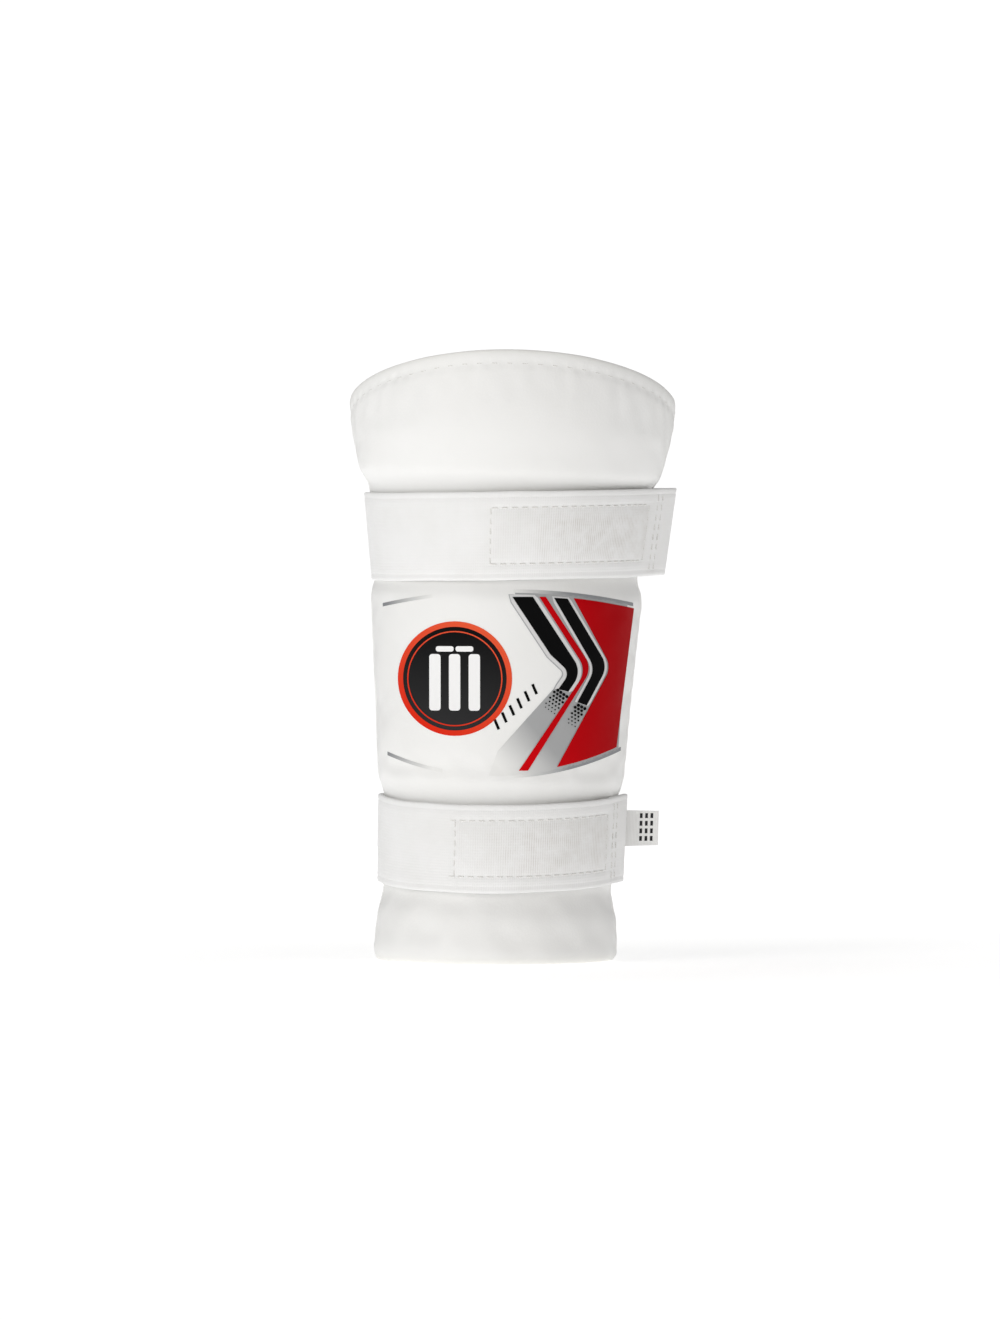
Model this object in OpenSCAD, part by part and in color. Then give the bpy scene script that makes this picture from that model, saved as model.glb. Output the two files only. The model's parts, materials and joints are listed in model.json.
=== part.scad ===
// Forearm guard for a young batsman: a padded half pipe that tapers to the wrist, held round
// the arm by two elastic tapes that close with hook and loop on the front.
// +Z runs up the arm from the wrist to the elbow, the printed front faces -Y, and the guard
// stands on its flat wrist end at z = 0.

/* [Pad] */
// Height of the pad from the wrist end to the top of the arch
pad_height = 250; // [230:1:265]
// Sideways lean of the pad's axis, in degrees
pad_lean = 1.8; // [0:0.1:2.5]
// Outer radius in front at the wrist end
wrist_radius = 50; // [49:0.5:51]
// Outer radius just under the upper tape
waist_radius = 55.3; // [55:0.1:56.5]
// Outer radius at the top of the arch
elbow_radius = 68; // [67:0.5:70]
// Inner radius at the wrist end
wrist_bore_radius = 31.2; // [30:0.1:32]
// Inner radius at the top of the arch
elbow_bore_radius = 50; // [48:0.5:51]
// Distance of the two rear edge faces in front of the axis
rear_edge = 5; // [5:0.1:6]
// Slope of the cut that makes the arched top, rise per run
arch_slope = 0.333; // [0.25:0.01:0.36]

/* [Layers] */
// Thickness of the coated cover
cover = 1.0; // [0.8:0.1:1.2]
// Thickness of the towelling lining
lining = 1.0; // [0.8:0.1:1.2]
// Thickness of the soft foam next to the arm
comfort = 6.4; // [5:0.1:7]
// Gap between neighbouring layers
layer_gap = 0.2; // [0.1:0.05:0.3]

/* [Straps] */
// Width of the elastic tape
tape_width = 36; // [34:0.5:37]
// Thickness of the elastic tape
tape = 1.3; // [1.1:0.1:1.4]
// Height of the middle of the upper tape at the front
upper_height = 174.8; // [174:0.1:176]
// Height of the middle of the lower tape at the front
lower_height = 47.8; // [47:0.1:49]
// Length of the sewn end of each tape on the pad's rear edge
anchor_length = 10; // [8:0.5:11]
// Length of the folded pull tab
tab_length = 20; // [15:1:21]
// Angle at which the rear run leaves the pad's left edge, in degrees
rear_bow = 23; // [15:1:25]

/* [Hook and loop] */
// Width of the hook patch
hook_width = 25; // [20:1:28]
// Width of the loop patch
loop_width = 29; // [25:1:32]
// Thickness of the hook patch
hook = 1.2; // [1:0.1:1.25]
// Thickness of the loop patch
loop = 1.0; // [0.8:0.1:1.05]

/* [Size tape] */
// Length of the folded size tape outside the seam
label_length = 17; // [14:0.5:18]
// Width of the size tape
label_width = 15; // [12:0.5:18]
// Thickness of the folded size tape
label_thick = 0.6; // [0.4:0.1:0.8]

/* [Artwork] */
// Turn of the artwork's middle from the front, towards +X, in degrees
art_turn = 4; // [2:0.5:5]
// Height of the middle of the roundel
roundel_height = 116.8; // [114:0.1:119]
// Outer radius of the roundel
roundel_radius = 23.3; // [20:0.1:24]
// Width of the roundel's coloured ring
ring_width = 2.2; // [1.5:0.1:3]

/* [Hidden] */

smooth = 180;
far = 400;
film = 0.06;
film_gap = 0.02;
thread = 0.25;
body_gap = 0.35;
seam_height = 0.55;
seam_width = 2;
stitch_margin = 5.5;
stitch_width = 0.6;

// The straps press a shallow band into the pad: low height, radius there, high height, radius there
upper_band = [155, 53.8, 198, 58.8];
lower_band = [28, 47.6, 72, 48.4];

// Each strap: band, height, rise to the rear, rise to the right, hinge angle of the free end,
// end angle of the hook patch, turn of the pull tab away from the pad, how much shorter the tab is
upper = [upper_band, upper_height, 1.4, 0.8, -6, 71.5, 10, 0];
lower = [lower_band, lower_height, 4.3, 0, -20, 62, -8, 1];

// Stack of one strap over the pressed band, from the pad outwards
side_gap = 0.8;
side_lift = 1.92;
side_angle = 82.5;
hook_base = loop + 0.5;
tape_base = hook_base + hook + film_gap;
tape_face = tape_base + tape;
rear_clear = 1;
bend_radius = 3.6;
bend_drop = 1.6;

// The widest level of the pad stands over the origin, and the rear reach balances the front
widest_height = 230;
rear_reach = 8.2;
axis_x = -widest_height * tan(pad_lean);
axis_y = (elbow_radius - rear_reach) / 2;

// Outer and inner faces of the padded wall, as points of radius and height
bulge_height = 5;
taper_height = 20;
outer_face = [
  [wrist_radius - 1.4, -8], [wrist_radius, bulge_height], [wrist_radius - 1.1, taper_height],
  [lower_band[1], lower_band[0]], [lower_band[3], lower_band[2]],
  [50.2, lower_band[2] + 2], [52.6, 110], [waist_radius, upper_band[0] - 3],
  [upper_band[1], upper_band[0]], [upper_band[3], upper_band[2]],
  [61.6, upper_band[2] + 2], [66.2, 232], [elbow_radius, pad_height],
  [elbow_radius + 0.8, pad_height + 8]
];
inner_face = [
  [wrist_bore_radius - 0.4, -8], [36.6, 150], [elbow_bore_radius + 0.8, pad_height + 8]
];

function inset(face, d) = [for (p = face) [p[0] - d, p[1]]];
function reversed(list) = [for (i = [len(list) - 1 : -1 : 0]) list[i]];
function arc(centre, r, from, to, steps) =
  [for (i = [0 : steps]) let (a = from + (to - from) * i / steps)
    centre + r * [cos(a), sin(a)]];

// Arc of radius r that rounds the corner b between a and c
function rounded(a, b, c, r, steps = 8) =
  let (
    u = (a - b) / norm(a - b),
    v = (c - b) / norm(c - b),
    half = acos(u * v) / 2,
    m = b + (u + v) / norm(u + v) * r / sin(half),
    p = b + u * r / tan(half) - m,
    q = b + v * r / tan(half) - m,
    from = atan2(p[1], p[0]),
    turn = atan2(p[0] * q[1] - p[1] * q[0], p * q)
  )
  [for (i = [0 : steps]) let (t = from + turn * i / steps) m + r * [cos(t), sin(t)]];

module in_pad_frame() {
  translate([axis_x, axis_y, 0]) rotate([0, pad_lean, 0]) children();
}

// Block between the wrist end, the arched top cut and the rear edge faces, smaller by gap
module pad_space(gap, top_gap = 0) {
  front = axis_y - elbow_radius;
  rear = axis_y - rear_edge - gap;
  top = pad_height - gap - top_gap;
  translate([-far / 2, 0, 0]) rotate([90, 0, 90]) linear_extrude(far) polygon([
    [-far, gap], [rear, gap], [rear, top - arch_slope * (rear - front)],
    [-far, top - arch_slope * (-far - front)]
  ]);
}

// Layer of the wall between two faces of radius and height
module wall(outside, inside) {
  in_pad_frame() rotate_extrude(angle = 180, start = 180, $fn = smooth)
    polygon(concat(outside, reversed(inside)));
}

module front_cover() {
  color("white") difference() {
    intersection() {
      wall(outer_face, inner_face);
      pad_space(0);
    }
    intersection() {
      wall(inset(outer_face, cover), inset(inner_face, 8));
      pad_space(cover);
    }
  }
}

module back_lining() {
  color("gainsboro") intersection() {
    wall(inset(inner_face, -lining), inner_face);
    pad_space(cover + layer_gap);
  }
}

module comfort_foam() {
  base = lining + layer_gap;
  color("lightsteelblue") intersection() {
    wall(inset(inner_face, -base - comfort), inset(inner_face, -base));
    pad_space(cover + layer_gap);
  }
}

module shield_foam() {
  base = lining + comfort + 2 * layer_gap;
  color("slategray") intersection() {
    wall(inset(outer_face, cover + layer_gap), inset(inner_face, -base));
    pad_space(cover + layer_gap);
  }
}

// Ridge of the turned seam beside one rear edge face
module side_seam(side) {
  color("whitesmoke") intersection() {
    wall(inset(outer_face, -seam_height), inset(outer_face, -film_gap));
    pad_space(1);
    translate([side * far / 2, axis_y - rear_edge - 1.5 * seam_width, 0])
      cube([far, seam_width, 3 * far], center = true);
  }
}

module side_seam_left() { side_seam(-1); }
module side_seam_right() { side_seam(1); }

module top_stitching() {
  color("white") difference() {
    intersection() {
      wall(inset(outer_face, -thread), inset(outer_face, -film_gap));
      pad_space(0, stitch_margin);
      translate([0, axis_y - rear_edge - 3 * seam_width - far / 2, 0])
        cube([far, far, 3 * far], center = true);
    }
    pad_space(-1, stitch_margin + stitch_width + 1);
  }
}

// Printed film: the outline drawn on the artwork plane is pressed onto the cover
module print_film(layer) {
  base = film_gap + layer * (film + film_gap);
  intersection() {
    wall(inset(outer_face, -base - film), inset(outer_face, -base));
    pad_space(2);
    rotate([90, 0, art_turn]) linear_extrude(far) children();
  }
}

// Artwork plane: x to the right from the pad's origin, y up from the wrist end
art_top = 152.6;
art_top_radius = 240;
art_bottom = 76.8;
art_bottom_radius = 122;
art_bottom_x = -4;
tip_radius = 8;

module barrel(grow = 0) {
  intersection() {
    translate([0, art_top - art_top_radius]) circle(art_top_radius + grow, $fn = 2 * smooth);
    translate([art_bottom_x, art_bottom + art_bottom_radius])
      circle(art_bottom_radius + grow, $fn = 2 * smooth);
  }
}

module print_silver_ground() {
  color("silver") print_film(0) intersection() {
    barrel(-0.5);
    polygon(concat(
      [[-3, 158], [15, 129]],
      rounded([15, 129], [24, 119], [-8, 84], 4),
      [[-8, 84], [-8, 70], [43.5, 70], [45.5, 90], [51, 146], [51, 158]]
    ));
  }
}

module print_arc_lines() {
  color("darkgray") print_film(0) difference() {
    barrel(0.6);
    barrel(-0.4);
    translate([-31, 60]) square([33, 100]);
    translate([51.5, 60]) square([40, 100]);
    translate([-92, 60]) square([40, 100]);
  }
}

module print_wide_chevron() {
  color("black") print_film(1) polygon(concat(
    [[1.5, 150], [9.8, 150]],
    rounded([9.8, 150], [29.6, 119.6], [21.8, 108], tip_radius),
    [[21.8, 108], [17.6, 109]],
    rounded([17.6, 109], [24.8, 119.2], [16.9, 126.6], tip_radius / 2),
    [[16.9, 126.6]]
  ));
}

module print_red_stripe() {
  color("firebrick") print_film(1) polygon(concat(
    [[12.4, 150], [15, 150]],
    rounded([15, 150], [33.9, 121.1], [7.8, 79.4], tip_radius),
    [[7.8, 79.4], [4.1, 79.4]],
    rounded([4.1, 79.4], [31.6, 120.1], [12.4, 150], tip_radius)
  ));
}

module print_slim_chevron() {
  color("black") print_film(1) polygon(concat(
    [[18.3, 149.6], [23.8, 149.2]],
    rounded([23.8, 149.2], [40.1, 121.8], [29.2, 101.3], tip_radius),
    [[29.2, 101.3], [25.5, 102.9]],
    rounded([25.5, 102.9], [35.1, 120.7], [18.3, 149.6], tip_radius)
  ));
}

module print_red_panel() {
  color("firebrick") print_film(1) intersection() {
    barrel(-2.6);
    polygon(concat(
      [[22, 157], [53, 157], [50.9, 145.5], [44.2, 83], [43, 74], [15, 74]],
      rounded([15, 74], [41.7, 121.4], [22, 157], tip_radius)
    ));
  }
}

module at_roundel() {
  translate([-21.9, roundel_height]) children();
}

module print_roundel_field() {
  color("dimgray") print_film(0) at_roundel() circle(roundel_radius - ring_width - 0.1);
}

module print_roundel_ring() {
  color("orangered") print_film(0) at_roundel() difference() {
    circle(roundel_radius);
    circle(roundel_radius - ring_width);
  }
}

stump_count = 3;
stump_width = 4.6;
stump_height = 23;
stump_pitch = 8;
bail_height = 2.2;

module print_wicket() {
  color("white") print_film(1) at_roundel() {
    for (i = [0 : stump_count - 1]) {
      translate([(i - 1) * stump_pitch - stump_width / 2, -stump_height / 2 - 1.5])
        square([stump_width, stump_height]);
    }
    for (side = [-1, 1]) {
      translate([side * stump_pitch / 2 - 3.6, stump_height / 2 - 0.5])
        square([7.2, bail_height]);
    }
  }
}

tick_count = 6;
tick_length = 4.4;
tick_width = 1.1;
tick_pitch = 4.2;

module print_ticks() {
  color("black") print_film(1) translate([-4.5, 96]) rotate(43)
    for (i = [0 : tick_count - 1]) {
      translate([i * tick_pitch, 0]) rotate(-20) square([tick_width, tick_length]);
    }
}

// Level slab of one strap, tilted as the strap lies on the pad
module strap_slab(strap, width) {
  translate([0, axis_y - strap[0][1], strap[1]]) rotate([strap[2], -strap[3], 0])
    cube([2 * far, 2 * far, width], center = true);
}

// Sector of a cone shell that lies over the pressed band of a strap
module band_sector(band, inside, outside, from, to) {
  rotate_extrude(angle = to - from, start = from - 90, $fn = smooth) polygon([
    [band[1] + inside, band[0]], [band[1] + outside, band[0]],
    [band[3] + outside, band[2]], [band[3] + inside, band[2]]
  ]);
}

module band_piece(strap, width, inside, outside, from, to) {
  intersection() {
    in_pad_frame() band_sector(strap[0], inside, outside, from, to);
    strap_slab(strap, width);
  }
}

// The front run turns about its own lifted centre, so its last angle is worked out from there
function front_end(strap) =
  strap[4] - 0.6 + asin(side_lift * sin(strap[4]) / (strap[0][1] + side_gap));

module strap_front_run(strap) {
  color("ghostwhite") intersection() {
    in_pad_frame() translate([0, -side_lift, 0])
      band_sector(strap[0], side_gap, side_gap + tape, -side_angle, front_end(strap));
    strap_slab(strap, tape_width);
  }
}

module strap_end(strap) {
  color("ghostwhite") band_piece(strap, tape_width, tape_base, tape_face, strap[4], strap[5]);
}

module hook_patch(strap) {
  color("lightgray")
    band_piece(strap, hook_width, hook_base, hook_base + hook, strap[4] + 1, strap[5] - 0.5);
}

module hook_stitching(strap) {
  low = tape_face + film_gap;
  color("white") difference() {
    band_piece(strap, hook_width - 2, low, low + thread, strap[4] + 2, strap[5] - 1.5);
    band_piece(strap, hook_width - 3, low - 1, low + 1, strap[4] + 2.6, strap[5] - 2.1);
  }
}

module loop_patch(strap) {
  color("gainsboro") band_piece(strap, loop_width, film_gap, loop, strap[4] - 18, strap[5] + 4);
}

// Straight folded hem, tangent to the band at the strap's free end; its own x runs along the tab
module at_tab(strap) {
  band = strap[0];
  slope = (band[3] - band[1]) / (band[2] - band[0]);
  radius = band[1] + slope * (strap[1] - band[0]) + tape_face;
  in_pad_frame() rotate([0, 0, strap[5]]) translate([0.6, -radius, strap[1]])
    rotate([atan(slope), 0, 0]) rotate([0, 0, -strap[6]]) children();
}

module pull_tab(strap) {
  color("whitesmoke") intersection() {
    at_tab(strap) translate([0, 0, -tape_width])
      cube([tab_length - strap[7], 2 * tape, 2 * tape_width]);
    strap_slab(strap, tape_width);
  }
}

module tab_stitching(strap) {
  color("white") intersection() {
    at_tab(strap) for (x = [3, 6]) {
      translate([x, -film_gap - thread, -tape_width]) cube([0.6, thread, 2 * tape_width]);
    }
    strap_slab(strap, tape_width - 5);
  }
}

// Sewn end of the tape, flat on the right rear edge face
module strap_anchor(strap) {
  face = axis_y - rear_edge;
  color("ghostwhite") intersection() {
    in_pad_frame() band_sector(strap[0], -anchor_length - 0.6, -0.6, 80, 100);
    strap_slab(strap, tape_width);
    translate([-far / 2, face + film_gap, -far / 2]) cube([far, tape, far + pad_height]);
  }
}

module anchor_stitching(strap) {
  face = axis_y - rear_edge + tape + 2 * film_gap;
  color("white") intersection() {
    in_pad_frame() for (x = [-anchor_length + 0.8, -2.4]) {
      band_sector(strap[0], x, x + 0.6, 80, 100);
    }
    strap_slab(strap, tape_width - 4);
    translate([-far / 2, face, -far / 2]) cube([far, thread, far + pad_height]);
  }
}

// Plan of the rear run at the band's low end, with y counted from the rear edge faces:
// an arc behind the arm, a tight bend round the left rear edge and a short straight lap
function bend_centre(r) = [-(r + rear_clear + tape / 2) + bend_radius, -bend_drop];
function rear_start(r) = [r - anchor_length - 1, tape / 2 + body_gap];
function bend_start(r) =
  bend_centre(r) + bend_radius * [-sin(rear_bow), cos(rear_bow)];
function rear_radius(r) =
  let (d = rear_start(r) - bend_start(r)) -(d * d) / (2 * (d * [-sin(rear_bow), cos(rear_bow)]));
function rear_centre(r) = bend_start(r) - rear_radius(r) * [-sin(rear_bow), cos(rear_bow)];
function lap_end(r) = rear_edge - side_lift - (r + side_gap) * cos(side_angle) + body_gap;

function rear_line(r, off) =
  let (c = rear_centre(r), s = rear_start(r) - c, first = atan2(s[1], s[0]))
  concat(
    arc(c, rear_radius(r) + off, first, 90 + rear_bow, 24),
    arc(bend_centre(r), bend_radius + off, 90 + rear_bow, 180, 8),
    [[bend_centre(r)[0] - bend_radius - off, lap_end(r)]]
  );

module strap_rear_run(strap) {
  band = strap[0];
  plan = concat(rear_line(band[1], tape / 2), reversed(rear_line(band[1], -tape / 2)));
  color("ghostwhite") intersection() {
    in_pad_frame() translate([0, -rear_edge, band[0]])
      linear_extrude(band[2] - band[0] + 4,
                     scale = 1 + (band[3] / band[1] - 1) * (1 + 4 / (band[2] - band[0])))
        polygon(plan);
    strap_slab(strap, tape_width);
  }
}

module upper_loop_patch() { loop_patch(upper); }
module upper_strap_anchor() { strap_anchor(upper); }
module upper_anchor_stitching() { anchor_stitching(upper); }
module upper_strap_rear_run() { strap_rear_run(upper); }
module upper_strap_front_run() { strap_front_run(upper); }
module upper_strap_end() { strap_end(upper); }
module upper_hook_patch() { hook_patch(upper); }
module upper_hook_stitching() { hook_stitching(upper); }
module upper_pull_tab() { pull_tab(upper); }
module upper_tab_stitching() { tab_stitching(upper); }
module lower_loop_patch() { loop_patch(lower); }
module lower_strap_anchor() { strap_anchor(lower); }
module lower_anchor_stitching() { anchor_stitching(lower); }
module lower_strap_rear_run() { strap_rear_run(lower); }
module lower_strap_front_run() { strap_front_run(lower); }
module lower_strap_end() { strap_end(lower); }
module lower_hook_patch() { hook_patch(lower); }
module lower_hook_stitching() { hook_stitching(lower); }
module lower_pull_tab() { pull_tab(lower); }
module lower_tab_stitching() { tab_stitching(lower); }

// Folded size tape out of the right side seam, behind the lower strap
label_height = 56.2;
label_set_back = 0.5;

module at_label() {
  in_pad_frame() translate([lower_band[3] + 0.6, label_set_back - rear_edge, label_height])
    children();
}

module size_tape() {
  color("white") at_label() translate([0, 0, -label_width / 2])
    cube([label_length, label_thick, label_width]);
}

module size_tape_print() {
  color("dimgray") at_label() for (i = [0 : 2]) {
    translate([label_length - 3.4 - 2.2 * i, -film_gap - film, -label_width / 2 + 2])
      cube([1.2, film, label_width - 4]);
  }
}

front_cover();
back_lining();
shield_foam();
comfort_foam();
side_seam_left();
side_seam_right();
top_stitching();
print_silver_ground();
print_arc_lines();
print_wide_chevron();
print_red_stripe();
print_slim_chevron();
print_red_panel();
print_roundel_field();
print_roundel_ring();
print_wicket();
print_ticks();
upper_loop_patch();
upper_strap_anchor();
upper_anchor_stitching();
upper_strap_rear_run();
upper_strap_front_run();
upper_strap_end();
upper_hook_patch();
upper_hook_stitching();
upper_pull_tab();
upper_tab_stitching();
lower_loop_patch();
lower_strap_anchor();
lower_anchor_stitching();
lower_strap_rear_run();
lower_strap_front_run();
lower_strap_end();
lower_hook_patch();
lower_hook_stitching();
lower_pull_tab();
lower_tab_stitching();
size_tape();
size_tape_print();
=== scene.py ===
import json
import math

import bpy
import numpy as np
from mathutils import Vector, noise
from mathutils.bvhtree import BVHTree
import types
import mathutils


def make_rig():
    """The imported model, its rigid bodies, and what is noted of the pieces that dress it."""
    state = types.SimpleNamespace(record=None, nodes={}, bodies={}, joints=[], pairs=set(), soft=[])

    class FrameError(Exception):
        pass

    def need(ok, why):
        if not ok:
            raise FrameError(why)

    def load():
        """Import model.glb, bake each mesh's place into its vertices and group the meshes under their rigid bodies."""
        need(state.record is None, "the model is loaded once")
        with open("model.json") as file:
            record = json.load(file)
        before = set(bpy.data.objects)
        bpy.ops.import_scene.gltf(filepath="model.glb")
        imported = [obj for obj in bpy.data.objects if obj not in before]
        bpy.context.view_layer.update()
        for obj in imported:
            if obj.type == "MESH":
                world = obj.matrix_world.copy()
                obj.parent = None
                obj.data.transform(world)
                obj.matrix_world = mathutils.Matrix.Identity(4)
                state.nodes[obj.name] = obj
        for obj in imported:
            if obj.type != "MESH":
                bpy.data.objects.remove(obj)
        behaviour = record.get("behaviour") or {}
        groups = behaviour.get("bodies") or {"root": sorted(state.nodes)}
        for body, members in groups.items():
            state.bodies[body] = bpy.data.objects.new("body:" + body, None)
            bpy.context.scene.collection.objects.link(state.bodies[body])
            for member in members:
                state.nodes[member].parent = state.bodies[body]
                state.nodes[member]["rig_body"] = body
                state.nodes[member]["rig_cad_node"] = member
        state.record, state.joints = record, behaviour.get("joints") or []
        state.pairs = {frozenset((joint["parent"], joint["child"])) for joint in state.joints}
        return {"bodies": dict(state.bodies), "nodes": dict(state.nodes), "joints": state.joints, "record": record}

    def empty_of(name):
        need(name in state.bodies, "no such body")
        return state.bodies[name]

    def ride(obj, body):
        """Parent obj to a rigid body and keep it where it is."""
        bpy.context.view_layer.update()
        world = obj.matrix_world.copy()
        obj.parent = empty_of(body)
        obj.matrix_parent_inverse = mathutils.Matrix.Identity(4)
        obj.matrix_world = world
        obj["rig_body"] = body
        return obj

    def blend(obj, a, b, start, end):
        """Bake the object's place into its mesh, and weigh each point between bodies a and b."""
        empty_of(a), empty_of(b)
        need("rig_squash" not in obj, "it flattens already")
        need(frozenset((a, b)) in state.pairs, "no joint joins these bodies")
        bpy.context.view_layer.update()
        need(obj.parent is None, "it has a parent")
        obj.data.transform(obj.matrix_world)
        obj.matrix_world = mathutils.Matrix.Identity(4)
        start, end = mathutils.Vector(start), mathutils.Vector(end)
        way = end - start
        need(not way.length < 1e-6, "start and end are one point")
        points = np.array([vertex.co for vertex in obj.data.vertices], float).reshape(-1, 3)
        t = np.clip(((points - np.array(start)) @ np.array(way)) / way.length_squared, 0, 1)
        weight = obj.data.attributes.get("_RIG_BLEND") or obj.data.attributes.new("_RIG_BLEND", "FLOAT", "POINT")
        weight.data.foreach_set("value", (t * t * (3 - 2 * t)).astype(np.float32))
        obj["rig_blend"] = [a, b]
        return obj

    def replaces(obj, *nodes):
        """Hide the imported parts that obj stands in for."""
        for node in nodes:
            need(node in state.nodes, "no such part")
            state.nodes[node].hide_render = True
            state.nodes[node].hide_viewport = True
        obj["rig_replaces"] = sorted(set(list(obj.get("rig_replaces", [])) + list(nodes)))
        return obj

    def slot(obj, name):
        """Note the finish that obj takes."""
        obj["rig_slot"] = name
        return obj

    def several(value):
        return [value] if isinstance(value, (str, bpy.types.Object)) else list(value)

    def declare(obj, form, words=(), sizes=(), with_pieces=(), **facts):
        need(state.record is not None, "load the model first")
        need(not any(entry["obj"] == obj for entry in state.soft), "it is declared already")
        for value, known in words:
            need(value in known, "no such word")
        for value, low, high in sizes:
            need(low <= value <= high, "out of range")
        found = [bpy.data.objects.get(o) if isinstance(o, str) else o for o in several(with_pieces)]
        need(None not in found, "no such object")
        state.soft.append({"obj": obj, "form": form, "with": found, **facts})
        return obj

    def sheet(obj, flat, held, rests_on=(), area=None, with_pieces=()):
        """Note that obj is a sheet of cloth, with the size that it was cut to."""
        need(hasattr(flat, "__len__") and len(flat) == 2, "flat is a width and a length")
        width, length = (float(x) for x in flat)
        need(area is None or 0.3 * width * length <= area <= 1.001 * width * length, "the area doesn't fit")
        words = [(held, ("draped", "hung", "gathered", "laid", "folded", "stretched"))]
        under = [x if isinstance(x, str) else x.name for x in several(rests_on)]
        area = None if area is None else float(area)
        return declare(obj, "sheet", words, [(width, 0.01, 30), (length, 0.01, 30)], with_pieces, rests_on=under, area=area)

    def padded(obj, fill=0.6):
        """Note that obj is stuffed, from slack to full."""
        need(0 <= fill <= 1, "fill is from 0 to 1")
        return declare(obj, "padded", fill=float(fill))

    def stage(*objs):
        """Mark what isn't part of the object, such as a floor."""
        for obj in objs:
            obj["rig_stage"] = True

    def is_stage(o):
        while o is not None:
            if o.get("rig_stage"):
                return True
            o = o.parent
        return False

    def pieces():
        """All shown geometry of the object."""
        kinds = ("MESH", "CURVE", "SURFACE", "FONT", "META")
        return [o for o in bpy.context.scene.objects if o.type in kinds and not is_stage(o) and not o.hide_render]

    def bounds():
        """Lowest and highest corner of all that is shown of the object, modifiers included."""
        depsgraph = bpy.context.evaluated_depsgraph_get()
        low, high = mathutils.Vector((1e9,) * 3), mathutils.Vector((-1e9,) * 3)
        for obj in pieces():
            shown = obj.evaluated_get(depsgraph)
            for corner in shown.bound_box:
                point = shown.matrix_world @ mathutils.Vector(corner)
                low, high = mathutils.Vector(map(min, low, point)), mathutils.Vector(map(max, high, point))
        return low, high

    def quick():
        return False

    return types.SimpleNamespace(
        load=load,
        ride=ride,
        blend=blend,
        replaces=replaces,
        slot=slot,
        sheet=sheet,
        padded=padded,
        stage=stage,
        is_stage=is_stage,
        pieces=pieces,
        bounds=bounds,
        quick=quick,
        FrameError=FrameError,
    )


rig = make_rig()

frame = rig.load()
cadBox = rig.bounds()  # the CAD model's box, written out beside the finished model's box at the end
scene = bpy.context.scene
mm = 0.001

# small helpers


def deselectAll():
    if bpy.context.mode != "OBJECT":
        bpy.ops.object.mode_set(mode="OBJECT")
    bpy.ops.object.select_all(action="DESELECT")


def pick(obj):
    deselectAll()
    obj.select_set(True)
    bpy.context.view_layer.objects.active = obj
    return obj


def finishWith(obj, kind, **settings):  # adds a modifier and applies it straight away
    pick(obj)
    modifier = obj.modifiers.new(kind, kind)
    for name, value in settings.items():
        setattr(modifier, name, value)
    bpy.ops.object.modifier_apply(modifier=modifier.name)


def meshPiece(name, vertices, faces, material):
    mesh = bpy.data.meshes.new(name)
    mesh.from_pydata(vertices, [], faces)
    piece = bpy.data.objects.new(name, mesh)
    scene.collection.objects.link(piece)
    mesh.materials.append(material)
    return piece


def turnOutwards(obj):
    pick(obj)
    bpy.ops.object.mode_set(mode="EDIT")
    bpy.ops.mesh.select_all(action="SELECT")
    bpy.ops.mesh.normals_make_consistent(inside=False)
    bpy.ops.object.mode_set(mode="OBJECT")


def points(obj):
    places = np.zeros(len(obj.data.vertices) * 3)
    obj.data.vertices.foreach_get("co", places)
    return places.reshape(-1, 3)


def setPoints(obj, places):
    obj.data.vertices.foreach_set("co", np.ascontiguousarray(places, float).ravel())
    obj.data.update()


def normals(obj):
    directions = np.zeros(len(obj.data.vertices) * 3)
    obj.data.vertices.foreach_get("normal", directions)
    return directions.reshape(-1, 3)


def selectFaces(obj, test):  # in edit mode; test(centre, normal) says which faces
    bpy.ops.mesh.select_all(action="DESELECT")
    bpy.ops.object.mode_set(mode="OBJECT")
    for face in obj.data.polygons:
        face.select = bool(test(face.center, face.normal))
    bpy.ops.object.mode_set(mode="EDIT")


def smoothStep(low, high, value):
    t = np.clip((np.asarray(value, float) - low) / (high - low), 0, 1)
    return t * t * (3 - 2 * t)


def dip(value, width):  # 1 on a line, falling to 0 beside it
    return np.exp(-((np.asarray(value, float) / width) ** 2))


def ripple(places, size, seed=0.0):  # soft noise from -1 to 1, one value for each point
    shift = Vector((seed, 2 * seed, -seed))
    return np.array([noise.noise(Vector(p) / size + shift) for p in places])


def shadeSmooth(obj, angle=35):
    pick(obj)
    bpy.ops.object.shade_smooth_by_angle(angle=math.radians(angle))


def setAttribute(obj, name, values):  # one number for each point, which materials can read
    layer = obj.data.attributes.new(name, "FLOAT", "POINT")
    layer.data.foreach_set("value", np.asarray(values, np.float32))


# camera, floor and light

cameraSetup = {
    "azimuth": 4.0,  # degrees to the right of straight in front
    "elevation": 0.5,
    "distance": 3000.0,  # mm
    "lens": 200.0,
    "target": (-3.505, -0.245, 124.2),
}


def makeCamera():
    azimuth, elevation = (math.radians(cameraSetup[k]) for k in ("azimuth", "elevation"))
    away = Vector((math.sin(azimuth) * math.cos(elevation),
                   -math.cos(azimuth) * math.cos(elevation), math.sin(elevation)))
    target = Vector(cameraSetup["target"]) * mm
    bpy.ops.object.camera_add(location=target + away * cameraSetup["distance"] * mm)
    camera = bpy.context.object
    camera.rotation_euler = away.to_track_quat("Z", "Y").to_euler()
    camera.data.lens = cameraSetup["lens"]
    camera.data.sensor_width = 36
    camera.data.clip_end = 50
    scene.camera = camera


makeCamera()
print("camera placed")

# materials


def fromHex(code):
    channels = [int(code[i:i + 2], 16) / 255 for i in (1, 3, 5)]
    return tuple(c / 12.92 if c <= 0.04045 else ((c + 0.055) / 1.055) ** 2.4
                 for c in channels) + (1.0,)


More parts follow.
